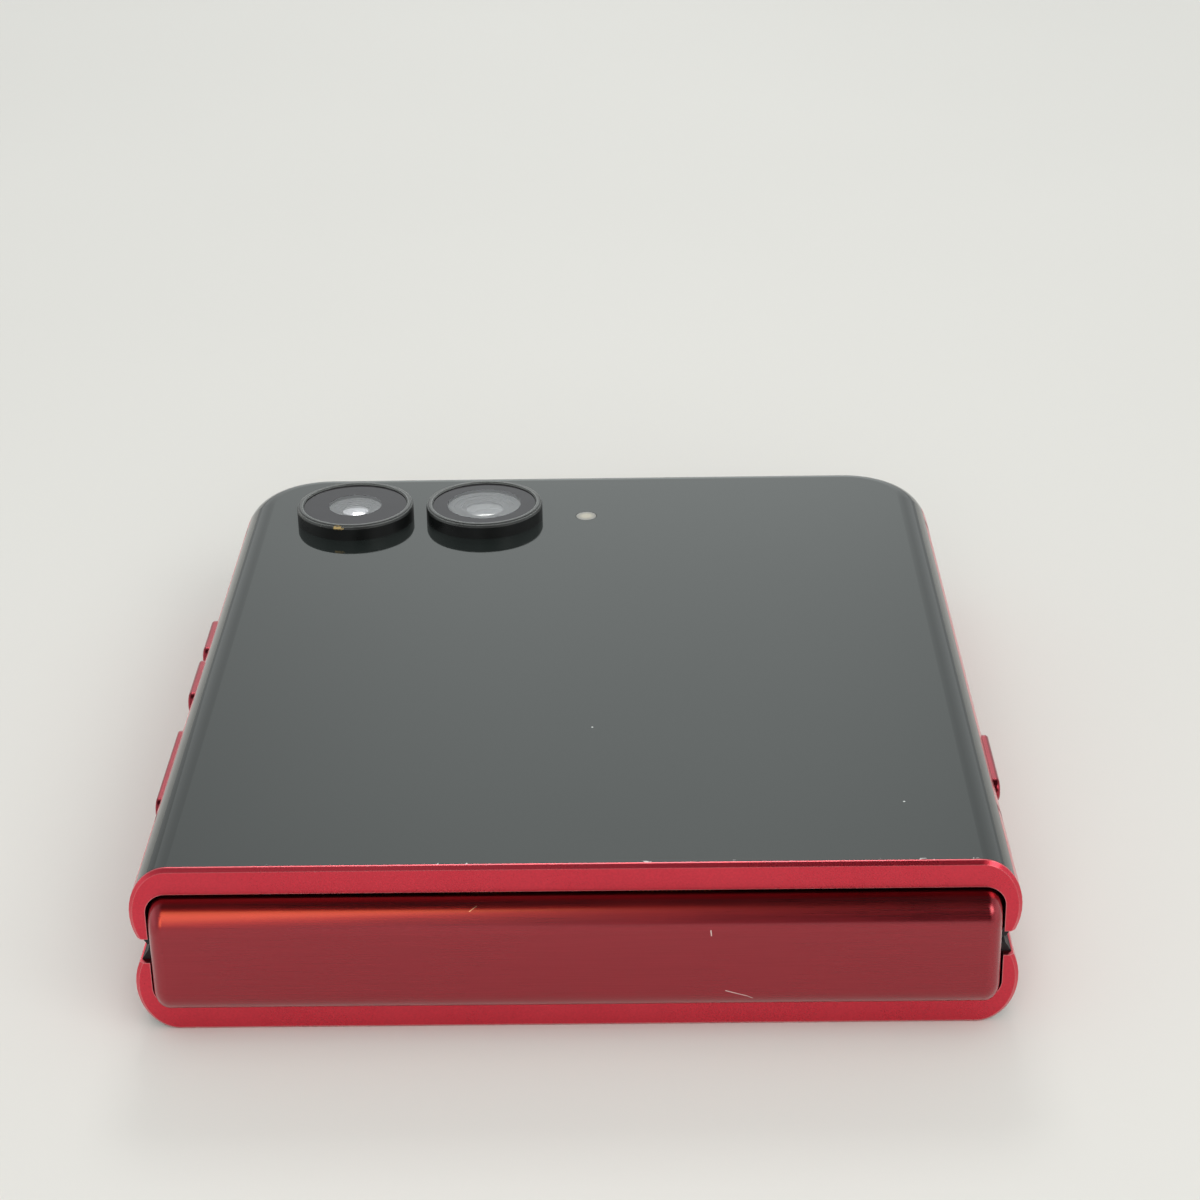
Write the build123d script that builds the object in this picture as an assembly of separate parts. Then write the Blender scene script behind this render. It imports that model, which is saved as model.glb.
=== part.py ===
from build123d import *
import os
from math import asin, atan2, cos, degrees, hypot, radians, sin, sqrt

os.makedirs("parts", exist_ok=True)

# A folding clamshell phone, closed and lying on its back cover.  Units are millimetres.
# X runs across the phone, -Y points out of the hinge spine and +Z is up, towards the cameras.
# Every piece of a half is drawn for the lower half, where z is the depth below the outer
# face; the upper half is its mirror image about the plane between the two halves.

# ---- Driving dimensions: overall form ----------------------------------------------------
phone_width = 74.0
half_length = 85.75         # hinge-end face to far edge of either half
spine_proud = 2.35          # how far the closed spine stands out of the hinge-end faces
folded_thickness = 15.7     # back cover to cover glass
corner_radius = 9.0         # far corners, seen from above
edge_reach = 3.4            # how far the rounded side comes in at the outer face
edge_drop = 4.4             # depth at which the side is widest
frame_gap = 1.15            # mid plane of the closed phone to the metal frame
rim_gap = 0.3               # mid plane to the display rim
bumper_gap = 0.1            # mid plane to the rubber bumpers
glass_thickness = 0.6
glass_edge = 1.7            # how deep the glass wraps round the sides
glue_gap = 0.05
front_strip = 0.45          # strip of frame in front of the glass at the hinge end
strip_chamfer = 0.3
wall_thickness = 2.8        # frame's side wall at its thickest
plate_gap = 1.75            # mid plane to the top of the mid plate
plate_thickness = 0.6

# ---- Driving dimensions: inner display ---------------------------------------------------
screen_gap = 0.95           # mid plane to the display's surface
screen_thickness = 0.35
screen_plate = 0.35
plate_play = 0.04           # glue under the display's steel plate
screen_margin = 3.0         # frame side to display edge
rim_cover = 0.6             # how far the rim reaches over the display
fold_tilt = 15.0            # how far the closed display dips before it turns round
fold_reach = 3.55           # where the flat panel ends and the fold begins, from the fold axis
bumper_size = (1.3, 4.0)    # rubber pads set into the rim
bumper_foot = 0.3
front_camera_inset = 3.9    # front camera's centre to the display's far edge
front_camera_radius = 1.75

# ---- Driving dimensions: hinge -----------------------------------------------------------
axis_offset = 1.0           # fold axes above and below the mid plane
open_gap = 0.1              # between the two end faces when the phone is flat
fold_angle = 90             # each half turns this far about its axis on the spine
lip_gap = 0.25              # between the spine and the metal lips above and below it
arm_thickness = 1.4         # frame arms at the ends of the spine
arm_gap = 0.4               # between the spine's ends and the arms
pocket_radius = 1.8         # inner corners of the pocket
lip_land = 0.25             # straight part of the lip before the pocket deepens
pocket_clearance = 0.2      # pocket over the spine's swing
spine_half_height = 5.2
spine_wall = 0.6
spine_fillet = 2.4
spine_end_round = 1.3
spine_reach = 0.75          # spine's side walls stop this far outside the fold axes
gear_offset = 1.55          # gear shafts outside the fold axes
gear_spacing = 1.6          # shaft to shaft
gear_teeth = 10
gear_width = 1.8
tooth_tip = 0.91            # gear's outer radius
tooth_root = 0.62           # gear's root radius
shaft_radius = 0.29
shaft_play = 0.02
crank_length = 1.15         # gear shaft to crank pin
crank_radius = 0.5
crank_width = 0.65
pin_radius = 0.3
pin_play = 0.05
rail_inner = 1.45           # arc rails, radii about the fold axis
rail_outer = 2.15
rail_width = 2.0
rail_play = 0.06
bracket_reach = 3.5         # farthest a bracket reaches from the fold axis inside the spine
cheek_width = 0.7
cheek_depth = 2.62
wing_thickness = 0.25
wing_pivot = (-3.15, -0.75) # wing's own axis, outwards and upwards from the lower fold axis
wing_top = 0.27             # wing's upper face above its axis
wing_pivot_radius = 0.27
wing_bore = 0.16
wing_length = 2.6
wing_pin_length = 2.0       # how far each pin reaches into the wing
neck_top = -0.36            # bracket's neck over the spine's wall, from the fold axis
neck_low = -0.70
flange_depth = 2.4          # bracket's flange on the frame
rail_tip = -20.0            # ends of the rail's arc
rail_heel = -129.0
wing_margin = 1.5           # wing's end to the hinge module
module_length = 12.9        # hinge module, from its bearing wall to its outer end
spring_length = 7.5         # friction springs' bay beside each module
bearing_wall = 1.4
housing_reach = 0.95        # housing's inner face outside the fold axes
housing_end_gap = 0.2       # housing's outer end to the spine cover
side_play = 0.1
shaft_land = 3.6            # how far the shaft walls reach from the mid plane
disc_count = 9              # friction springs: cone discs on the end shafts
disc_pitch = 0.7
disc_sheet = 0.2
disc_outer = 0.76
flex_width = 7.0            # flex cables across the hinge
flex_margin = 2.5           # flex cable to the friction springs' bay
flex_thickness = 0.15
flex_depth = 3.0            # below the mid plane
flex_bend = 1.8
screw_radius = 0.4
screw_depth = 1.6
screw_skin = 0.3            # metal left outside the blind screw holes

# ---- Driving dimensions: cameras, keys, tray, ports ---------------------------------------
ring_radius = 6.17
ring_height = 1.65
ring_rim = 0.7
ring_from_far = 13.05       # ring centres to the far edge
ring_from_side = 12.55      # main ring's centre to the side
ring_pitch = 13.73
flash_pitch = 10.82         # wide ring's centre to the flash
flash_from_far = 13.35
flash_radius = 1.05
main_lens_radius = 2.8      # clear opening in each camera's cover
wide_lens_radius = 3.9
lens_well = 1.3             # front lens below its opening
front_lens_share = 0.5      # front lens radius over the opening's
front_lens_rise = 0.35
key_height = 2.2
key_depth = 3.9             # key's centre below the outer face
key_proud = 0.4
power_proud = 0.25
key_play = 0.08
key_travel = 0.25
volume_up_from_far = (39.45, 31.55)     # both ends of the key, from the far edge
volume_down_from_far = (49.25, 40.55)
power_from_end = (16.0, 30.6)           # both ends of the key, from the hinge-end face
assist_from_end = (18.0, 28.1)
tray_from_far = 29.05
tray_face_length = 12.4
tray_face_height = 2.4
tray_width = 10.6
tray_thickness = 0.9
tray_length = 19.0
card_length = 12.3
card_width = 8.8
port_depth = 3.9            # centre of the ports in the far edge below the outer face
port_width = 8.94
port_height = 3.26
port_length = 7.35
port_wall = 0.25
speaker_hole_radius = 0.55
speaker_hole_pitch = 2.4
speaker_hole_count = 6
speaker_margin = 4.53       # port to loudspeaker
speaker_inset = 2.5         # loudspeaker's side to its first hole
microphone_radius = 0.4
microphone_x = -11.0
band_width = 1.1
band_from_end = 12.2
band_from_corner = 3.05

# ---- Driving dimensions: inside pieces -----------------------------------------------------
panel_thickness = 0.5       # display under the cover glass
panel_from_side = 4.4
panel_from_end = 2.2
panel_from_rings = 7.0
coil_thickness = 0.55
coil_margin = 0.77          # battery's ends to the charging coil
coil_band = 9.0             # width of the wound ring
battery_swell = 0.15        # air over each battery
battery_round = 0.8
board_thickness = 0.8
lower_board_depth = 1.25    # boards below the outer face of their half
upper_board_depth = 2.6
board_gap = 1.0             # upper battery to the main board
speaker_end_gap = 3.2       # loudspeaker to the inside of the side wall
speaker_reach = (6.9, 0.6)  # its ends from the board's near and far sides
motor_from_side = (2.7, 18.2)
motor_reach = (7.4, 1.0)
board_corner = 4.5
# parts on each board: x from the board's left side, y from its near side, width, length, height
lower_parts = ((25.2, 1.4, 5.0, 4.0, 0.9), (33.7, 1.9, 3.2, 3.2, 0.7),
               (39.2, 1.4, 8.0, 2.2, 1.1), (21.2, 8.4, 4.0, 5.0, 0.8))
upper_parts = ((7.6, 3.0, 12.0, 12.0, 1.3), (23.6, 2.5, 9.0, 11.0, 1.1),
               (36.6, 2.0, 7.0, 7.0, 0.9), (46.6, 2.0, 14.0, 9.0, 1.2),
               (38.6, 19.0, 6.5, 5.0, 1.0), (49.6, 15.0, 10.0, 7.0, 1.0))
module_half = 5.4           # half the side of the camera modules
magnet_thickness = 1.4
magnet_length = 4.0
socket_wall = 0.2
socket_gap = 0.12
flange_extra = 0.5          # key's inner flange round its cap
key_flange = 0.4
switch_radius = 1.0

# ---- Derived places ----------------------------------------------------------------------
mid = folded_thickness / 2
half_width = phone_width / 2
y_far = (half_length + spine_proud) / 2
y_end = y_far - half_length                    # hinge-end face of both frames
y_spine = y_end - spine_proud                  # outer face of the spine
frame_top = mid - frame_gap                    # depths below the outer face
rim_top = mid - rim_gap
bumper_top = mid - bumper_gap
plate_high = mid - plate_gap
plate_low = plate_high - plate_thickness
screen_surface = mid - screen_gap
lip_thickness = mid - spine_half_height - lip_gap
corner_x = half_width - corner_radius          # axes of the far corners
corner_y = y_far - corner_radius
fold_y = y_end - open_gap / 2 + axis_offset    # both fold axes
low_axis = mid - axis_offset
pocket_half = half_width - arm_thickness
spine_half_length = pocket_half - arm_gap
housing_end = spine_half_length - spine_wall - housing_end_gap
module_start = housing_end - module_length
spring_start = module_start - spring_length
wing_half_span = module_start - wing_margin
ring_y = y_far - ring_from_far
main_ring_x = ring_from_side - half_width
wide_ring_x = main_ring_x + ring_pitch
flash_x = wide_ring_x + flash_pitch
flash_y = y_far - flash_from_far
volume_up_span, volume_down_span = (
    (y_far - a, y_far - b) for a, b in (volume_up_from_far, volume_down_from_far))
power_span, assist_span = ((y_end + a, y_end + b) for a, b in (power_from_end, assist_from_end))
tray_y = y_far - tray_from_far
side_u = corner_radius                         # "u" is measured outwards from a corner axis
screen_u = side_u - screen_margin
cavity_u = side_u - wall_thickness
screen_under = screen_surface - screen_thickness
glass_seat = glass_thickness + glue_gap
spine_p = fold_y - y_spine                     # outer face of the spine from the fold axes
spine_q = spine_half_height - axis_offset      # spine's edge below the lower fold axis
swing = hypot(spine_p - spine_fillet, spine_q - spine_fillet) + spine_fillet
pocket_swing = swing + pocket_clearance
cavity_start = fold_y + pocket_swing + 1.2
band_ys = (y_end + band_from_end, corner_y - band_from_corner)


# ---- Small helpers -----------------------------------------------------------------------
def block(x0, x1, y0, y1, z0, z1):
    """A box given by its limits."""
    return Pos((x0 + x1) / 2, (y0 + y1) / 2, (z0 + z1) / 2) * Box(x1 - x0, y1 - y0, z1 - z0)


def tablet(x0, x1, y0, y1, z0, z1, r):
    """A box with rounded upright edges."""
    plan = Pos((x0 + x1) / 2, (y0 + y1) / 2, z0) * RectangleRounded(x1 - x0, y1 - y0, r)
    return extrude(plan, z1 - z0)


def across(profile, x0, x1):
    """A profile in (y, z), carried along X from x0 to x1."""
    return extrude(Plane.YZ.offset(x0) * profile, x1 - x0)


def rod(x0, x1, y, z, r):
    """A round bar along X."""
    return across(Pos(y, z) * Circle(r), x0, x1)


def disc(x, y, z0, z1, r):
    """An upright round bar."""
    return extrude(Pos(x, y, z0) * Circle(r), z1 - z0)


def flip(shape):
    """The same piece in the other half."""
    return mirror(shape, about=Plane.XY.offset(mid))


def both_ends(shape):
    """A piece and its mirror image at the other end of the spine."""
    return shape + mirror(shape, about=Plane.YZ)


def write(name, *solids):
    """One sub-part, as its separate solids, in one STEP file."""
    flat = [s for shape in solids for s in shape.solids()]
    shape = flat[0] if len(flat) == 1 else Compound(children=flat)
    shape.label = name
    export_step(shape, f"parts/{name}.step")


def edge_section(inset, low, high):
    """Half section of the rounded edge: u outwards from the corner axis, z from low to high."""
    a, b = edge_reach - inset, edge_drop - inset
    start = degrees(asin(max(-1.0, (low - edge_drop) / b)))
    stop = degrees(asin((high - edge_drop) / b))
    arc = EllipticalCenterArc((side_u - edge_reach, edge_drop), a, b, start,
                              arc_size=stop - start)
    rest = Polyline(arc @ 1, (0, high), (0, low), arc @ 0)
    return make_face([arc, rest])


def around(section, y_near):
    """A (u, z) section carried along both sides, the far corners and the far edge."""
    side_plane = Plane(origin=(corner_x, corner_y, 0), x_dir=(1, 0, 0), z_dir=(0, -1, 0))
    far_plane = Plane(origin=(0, corner_y, 0), x_dir=(0, 1, 0), z_dir=(1, 0, 0))
    side = extrude(side_plane * section, corner_y - y_near)
    corner = revolve(side_plane * section, Axis((corner_x, corner_y, 0), (0, 0, 1)), 90)
    far = extrude(far_plane * section, corner_x)
    return side + corner + far + mirror(side + corner + far, about=Plane.YZ)


def form(inset, low, high, y_near):
    """The outer form of one half, shrunk by an inset, between two depths."""
    core = block(-corner_x, corner_x, y_near, corner_y, low, high)
    return around(edge_section(inset, low, high), y_near) + core


def slab(u, low, high, y_near):
    """A flat slab with straight sides, parallel to the half's plan outline."""
    half = corner_x + u
    far = corner_y + u
    plan = Pos(0, (y_near + far) / 2, low) * Rectangle(2 * half, far - y_near)
    corners = plan.vertices().group_by(Axis.Y)[-1]
    return extrude(fillet(corners, u), high - low)


def rel(dp, dq):
    """(y, z) of a point given outwards and upwards from the lower fold axis."""
    return (fold_y - dp, low_axis + dq)


def polar(radius, angle):
    """(y, z) of a point at a radius and angle about the lower fold axis, 0 degrees outwards."""
    return rel(radius * cos(radians(angle)), radius * sin(radians(angle)))


def ring_sector(inner, outer, start, stop, centre=(0.0, 0.0)):
    """Part of a flat ring in (y, z) about a point near the lower fold axis."""
    cp, cq = centre
    turn = [radians(t) for t in (start, (start + stop) / 2, stop)]
    out = [rel(cp + outer * cos(t), cq + outer * sin(t)) for t in turn]
    inn = [rel(cp + inner * cos(t), cq + inner * sin(t)) for t in turn]
    edges = [ThreePointArc(*out), Line(out[2], inn[2]), ThreePointArc(*inn[::-1]),
             Line(inn[0], out[0])]
    return make_face(edges)


# ---- Frames ------------------------------------------------------------------------------
def stadium(length, height, y, z, x0, x1):
    """A slot shape in the side wall, long in Y, carried along X."""
    return across(Pos(y, z) * SlotOverall(length, height), x0, x1)


def key_slot(span, side):
    """Cutter for a key's slot in the frame's side wall."""
    length = span[1] - span[0] + 2 * key_play
    y = (span[0] + span[1]) / 2
    x0, x1 = half_width - wall_thickness - 1, half_width + 1
    cut = stadium(length, key_height + 2 * key_play, y, key_depth, x0, x1)
    return cut if side > 0 else mirror(cut, about=Plane.YZ)


def end_hole(x, r):
    """Cutter for a round hole in the far edge."""
    spot = Plane.XZ.offset(-(y_far + 1)) * Pos(x, port_depth) * Circle(r)
    return extrude(spot, wall_thickness + 2)


def band_slabs():
    """Places of the insulating bands, which cross the side walls."""
    reach = wall_thickness + 1
    x0, x1 = half_width - wall_thickness, half_width + 1
    slabs = [block(x0, x1, y - band_width / 2, y + band_width / 2, glass_edge + glue_gap,
                   frame_top + 1) for y in band_ys]
    return [s for one in slabs for s in (one, mirror(one, about=Plane.YZ))]


def frame_blank():
    """Side wall, mid plate, lip and arms, before each half's own openings."""
    body = form(0, 0, frame_top, y_end)
    face = body.faces().sort_by(Axis.Y)[0]
    rim = [e for e in face.edges() if e.center().Z < frame_top - 0.01]
    body = chamfer(rim, strip_chamfer)
    strip_y = y_end + front_strip
    seat = block(-half_width - 1, half_width + 1, strip_y, y_far + 1, -1, glass_edge + glue_gap)
    seat -= form(glass_seat, glass_seat, glass_edge + glue_gap, strip_y)
    body -= seat
    body -= slab(cavity_u, glass_seat - 1, plate_low, cavity_start)
    body -= slab(screen_u + 0.6, plate_high, frame_top + 1, fold_y)
    # the pocket that the spine lies in when closed and swings into when open
    mouth = Pos(0, (lip_thickness + frame_top + 4) / 2) * RectangleRounded(
        2 * pocket_half, frame_top + 4 - lip_thickness, pocket_radius)
    body -= extrude(Plane.XZ.offset(-fold_y) * mouth, fold_y - y_end + 1)
    scoop = rod(-pocket_half, pocket_half, fold_y, low_axis, pocket_swing)
    scoop -= block(-half_width, half_width, y_end - 9, y_end + lip_land, -2, mid)
    body -= scoop
    body -= block(-pocket_half, pocket_half, fold_y - 1, fold_y + pocket_swing, plate_high, mid)
    return body


blank = frame_blank()
flex_x = spring_start - flex_margin - flex_width / 2
flex_xs = (-flex_x, flex_x)
flex_z = mid - flex_depth
flex_slot = [block(x - flex_width / 2 - 0.3, x + flex_width / 2 + 0.3, fold_y + pocket_swing - 1,
                   cavity_start + 1, flex_z - 0.35, flex_z + 0.35) for x in flex_xs]
blank -= flex_slot

# bands of insulating plastic between the antenna parts of each frame
bands = [blank & s for s in band_slabs()]
metal = blank - band_slabs()
write("lower_antenna_bands", *bands)
write("upper_antenna_bands", *[flip(b) for b in bands])

port_mouth = extrude(Plane.XZ.offset(-(y_far + 1)) * Pos(0, port_depth) *
                     SlotOverall(port_width, port_height), wall_thickness + 2)
speaker_xs = [port_width / 2 + speaker_margin + speaker_inset + i * speaker_hole_pitch
              for i in range(speaker_hole_count)]
tray_slot = stadium(tray_face_length + 2 * key_play, tray_face_height + 2 * key_play, tray_y,
                    port_depth, half_width - wall_thickness - 1, half_width + 1)
lower_frame = metal - port_mouth - [end_hole(x, speaker_hole_radius) for x in speaker_xs]
lower_frame -= end_hole(microphone_x, microphone_radius)
lower_frame -= tray_slot

front_camera_y = corner_y + screen_u - front_camera_inset
panel_half = half_width - panel_from_side
panel_near = y_end + panel_from_end
panel_far = ring_y - panel_from_rings
upper_blank = metal - [key_slot(s, -1) for s in (volume_up_span, volume_down_span, power_span)]
upper_blank -= key_slot(assist_span, 1)
upper_blank -= end_hole(microphone_x, microphone_radius)
upper_blank -= block(-panel_half - 0.3, panel_half + 0.3, panel_near - 0.3, cavity_start + 1,
                     glass_seat - 0.1, glass_seat + panel_thickness + 0.1)
upper_blank -= disc(0, front_camera_y, plate_low - 1, plate_high + 1, front_camera_radius + 0.6)

# ---- Screws that hold the hinge brackets ---------------------------------------------------
bracket_screw_xs = (housing_end - 6.4, housing_end - 2.4)
bracket_screw_y = fold_y + pocket_swing + 0.95
screw_seats = [disc(sx * x, bracket_screw_y, plate_high - screw_depth, plate_high + 0.1,
                    screw_radius) for x in bracket_screw_xs for sx in (-1, 1)]
lower_frame -= screw_seats
upper_blank -= screw_seats
write("lower_frame", lower_frame)
write("upper_frame", flip(upper_blank))

# ---- Cover glasses -------------------------------------------------------------------------
glass_near = y_end + front_strip + glue_gap
glass = form(0, 0, glass_edge, glass_near)
glass -= form(glass_thickness, glass_thickness, glass_edge + 1, glass_near - 1)
write("back_cover", glass)
ring_places = ((main_ring_x, ring_y), (wide_ring_x, ring_y))
cover = glass - [disc(x, y, -1, 2, ring_radius - 0.35 + glue_gap) for x, y in ring_places]
cover -= disc(flash_x, flash_y, -1, 2, flash_radius + glue_gap)
write("cover_glass", flip(cover))

# ---- Inner display: rims, panels, plates ---------------------------------------------------
rim_near = fold_y - 0.3
rim_section = make_face(Polyline(
    (side_u - 0.65, frame_top), (side_u - 1.2, rim_top), (screen_u - rim_cover + 0.12, rim_top),
    (screen_u - rim_cover, rim_top - 0.12), (screen_u - rim_cover, screen_surface + 0.02),
    (screen_u + 0.15, screen_surface + 0.02), (screen_u + 0.15, frame_top),
    (side_u - 0.65, frame_top)))
rim = around(rim_section, rim_near)
rim -= block(-corner_x - screen_u - 0.15, corner_x + screen_u + 0.15, rim_near - 1, fold_y + 0.5,
             frame_top - 1, mid)
bumper_xs = corner_x + (side_u - 1.2 + screen_u - rim_cover) / 2
bumper_places = [(sx * bumper_xs, y) for sx in (-1, 1) for y in (fold_y + 10.75, corner_y - 2.05)]


def bumper(x, y):
    """A small rubber pad set into the rim."""
    w, l = bumper_size[0] / 2, bumper_size[1] / 2
    return tablet(x - w, x + w, y - l, y + l, rim_top - bumper_foot, bumper_top, w * 0.9)


pads = [bumper(x, y) for x, y in bumper_places]
rim_cut = rim - pads
earpiece_slit = block(-5.5, 5.5, corner_y + side_u - 2.05, corner_y + side_u - 1.65,
                      frame_top - 1, rim_top + 1)
write("lower_bezel", rim_cut)
write("upper_bezel", flip(rim_cut - earpiece_slit))
write("lower_bumpers", *pads)
write("upper_bumpers", *[flip(p) for p in pads])

fold_start = fold_y + fold_reach
panel = slab(screen_u, screen_under, screen_surface, fold_start)
write("display_lower", panel)
write("display_upper", flip(panel - disc(0, front_camera_y, 0, mid, front_camera_radius)))
plate_near = fold_y + pocket_swing + flange_depth
steel_low = plate_high + plate_play
steel_high = steel_low + screen_plate
stiff = slab(screen_u - 0.3, steel_low, steel_high, plate_near)
write("lower_display_plate", stiff)
write("upper_display_plate", flip(stiff - disc(0, front_camera_y, 0, mid, front_camera_radius + 0.6)))

# ---- The fold of the display ---------------------------------------------------------------
# Side view, closed: each side dips by fold_tilt, then the sheet turns round in one bend.
# The developed length equals what the flat-open display needs between the two halves.
tilt = radians(fold_tilt)
turn = radians(90) + tilt
half_run = axis_offset + fold_reach
bend_radius = (screen_gap + half_run * sin(tilt)) / (cos(tilt) + turn * sin(tilt))
slope_run = half_run - turn * bend_radius
bend_start_p = slope_run * cos(tilt) - fold_reach
bend_centre_p = bend_start_p + bend_radius * sin(tilt)


def fold_side(offset, start):
    """Side view of the fold's lower half, from its start to its apex, moved out by an offset."""
    r = bend_radius + offset
    bend_start = (bend_centre_p - r * sin(tilt), -r * cos(tilt))
    return [start, bend_start, (bend_centre_p + r, 0.0)]


def fold_loop(points):
    """Points in (y, z) of a side view and of its mirror image above the mid plane."""
    both = points + [(p, -q) for p, q in reversed(points[:-1])]
    return [(fold_y - p, mid + q) for p, q in both]


def fold_face():
    """Section of the folded sheet."""
    inner = fold_loop(fold_side(0.0, (-fold_reach, -screen_gap)))
    outer = fold_loop(fold_side(screen_thickness, (-fold_reach, -screen_gap - screen_thickness)))
    edges = [Line(inner[0], inner[1]), ThreePointArc(*inner[1:4]), Line(inner[3], inner[4]),
             Line(inner[4], outer[4]), Line(outer[4], outer[3]), ThreePointArc(*outer[3:0:-1]),
             Line(outer[1], outer[0]), Line(outer[0], inner[0])]
    return make_face(edges)


screen_half = corner_x + screen_u
write("display_fold", across(fold_face(), -screen_half, screen_half))

# ---- Support wings -------------------------------------------------------------------------
wing_flat = make_face(Polyline(
    rel(wing_pivot[0], wing_pivot[1] + wing_top),
    rel(wing_pivot[0] + wing_length, wing_pivot[1] + wing_top),
    rel(wing_pivot[0] + wing_length, wing_pivot[1] + wing_top - wing_thickness),
    rel(wing_pivot[0], wing_pivot[1] + wing_top - wing_thickness),
    rel(wing_pivot[0], wing_pivot[1] + wing_top)))
wing_yz = rel(*wing_pivot)
wing_axis = Axis((0, wing_yz[0], wing_yz[1]), (1, 0, 0))
wing = across(wing_flat, -wing_half_span, wing_half_span)
wing += rod(-wing_half_span, wing_half_span, *wing_yz, wing_pivot_radius)
wing -= rod(-wing_half_span - 1, wing_half_span + 1, *wing_yz, wing_bore)
wing = wing.rotate(wing_axis, fold_tilt)
write("lower_wing", wing)
write("upper_wing", flip(wing))

# ---- Hinge brackets ------------------------------------------------------------------------
gear_x = module_start + bearing_wall + side_play
crank_x = gear_x + gear_width
cheek_x = crank_x + crank_width + 0.2
low_rail_x = cheek_x + cheek_width + 0.85
high_rail_x = low_rail_x + rail_width + 0.8


def rail_face():
    """Arc rail and the root that joins it to the neck of the bracket."""
    rail = ring_sector(rail_inner, rail_outer, rail_tip, rail_heel)
    root = make_face(Polyline(
        polar(rail_inner, rail_heel + 3), rel(-1.6, -0.95), rel(-2.3, -0.78), rel(-3.2, -0.50),
        rel(-3.2, -1.25), rel(-1.9, -1.85), polar(rail_outer, rail_heel + 1),
        polar(rail_inner, rail_heel + 3)))
    return rail + root


gear_q = -1.5 * gear_spacing + axis_offset     # end gear's shaft from the lower fold axis
slot_radius = hypot(gear_offset, gear_q)
slot_start = degrees(atan2(gear_q, gear_offset))


def cheek_face():
    """Slotted cheek: the slot is the path of the crank pin as the half turns."""
    end = axis_offset - 0.08
    low_x = -sqrt(bracket_reach ** 2 - cheek_depth ** 2)
    top_x = -sqrt(bracket_reach ** 2 - 0.5 ** 2)
    corner = -135.0
    edges = [
        Polyline(rel(top_x, -0.5), rel(-1.9, -0.90), rel(-1.2, -0.97), rel(end, -0.97),
                 rel(end, -1.95), rel(end - 0.67, -cheek_depth), rel(low_x, -cheek_depth)),
        ThreePointArc(rel(low_x, -cheek_depth), polar(bracket_reach, corner - 15),
                      rel(top_x, -0.5))]
    plate = make_face(edges)
    r = pin_radius + pin_play
    c = (-crank_length, 0.0)
    slot = ring_sector(slot_radius - r, slot_radius + r, slot_start, slot_start - fold_angle,
                       c)
    for a in (slot_start, slot_start - fold_angle):
        end_point = rel(c[0] + slot_radius * cos(radians(a)), slot_radius * sin(radians(a)))
        slot += Pos(*end_point) * Circle(r)
    return plate - slot


def bracket(rail_x):
    """One hinge bracket: flange on the frame, neck over the spine's wall, cheek and rail."""
    x1 = rail_x + rail_width
    flange = block(cheek_x, housing_end - 0.4, fold_y + pocket_swing + 0.05, plate_near - 0.1,
                   plate_high, steel_high)
    flange -= [disc(x, bracket_screw_y, 0, mid, screw_radius + 0.02) for x in bracket_screw_xs]
    neck = across(make_face(Polyline(
        rel(-pocket_swing - 0.2, neck_top), rel(-3.55, neck_top), rel(-3.0, neck_top - 0.14),
        rel(-3.0, neck_low - 0.12), rel(-3.48, neck_low - 0.12), rel(-3.55, neck_low),
        rel(-pocket_swing - 0.2, neck_low), rel(-pocket_swing - 0.2, neck_top))), cheek_x, x1)
    cheek = across(cheek_face(), cheek_x, cheek_x + cheek_width)
    rail = across(rail_face(), rail_x, x1)
    return flange + neck + cheek + rail


wing_pin = rod(wing_half_span - wing_pin_length, cheek_x, *wing_yz, wing_bore - shaft_play)
low_bracket = bracket(low_rail_x)
high_bracket = bracket(high_rail_x)
write("lower_hinge_brackets", both_ends(low_bracket + wing_pin))
write("upper_hinge_brackets", flip(both_ends(high_bracket + wing_pin)))


screws = [disc(sx * x, bracket_screw_y, plate_high - screw_depth + 0.2, steel_high,
               screw_radius - 0.01) for x in bracket_screw_xs for sx in (-1, 1)]
write("lower_screws", *screws)
write("upper_screws", *[flip(s) for s in screws])

# ---- Spine ---------------------------------------------------------------------------------


def spine_section(shrink, near):
    """(y, z) section of the spine's outside, shrunk by a wall."""
    y0 = y_spine + shrink
    y1 = fold_y - near
    h = spine_half_height - shrink
    deep = Pos(y0 + h, mid) * Rectangle(2 * h, 2 * h)
    rounded = fillet(deep.vertices().group_by(Axis.X)[0], spine_fillet - shrink)
    return rounded & (Pos((y0 + y1) / 2, mid) * Rectangle(y1 - y0, 2 * h))


shell = across(spine_section(0, spine_reach), -spine_half_length, spine_half_length)
end_edges = [e for f in (shell.faces().sort_by(Axis.X)[0], shell.faces().sort_by(Axis.X)[-1])
             for e in f.edges() if e.center().Y < fold_y - spine_reach - 0.01]
shell = fillet(end_edges, spine_end_round)
shell -= across(spine_section(spine_wall, spine_reach - 1), -spine_half_length + spine_wall,
                spine_half_length - spine_wall)
spine_screw_xs = (spring_start + 3.8, housing_end - 1.2)
spine_screw_y = fold_y - housing_reach
for x in spine_screw_xs:
    for side in (-1, 1):
        hole = Plane.XZ.offset(-y_spine - screw_skin) * Pos(side * x, mid)
        shell -= extrude(hole * Circle(screw_radius), -1)
write("spine_cover", shell)


def gear_zs():
    """Heights of the four shafts, from the lower to the upper."""
    return [mid + (i - 1.5) * gear_spacing for i in range(4)]


shaft_y = fold_y - gear_offset
housing_play = 0.05


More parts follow.
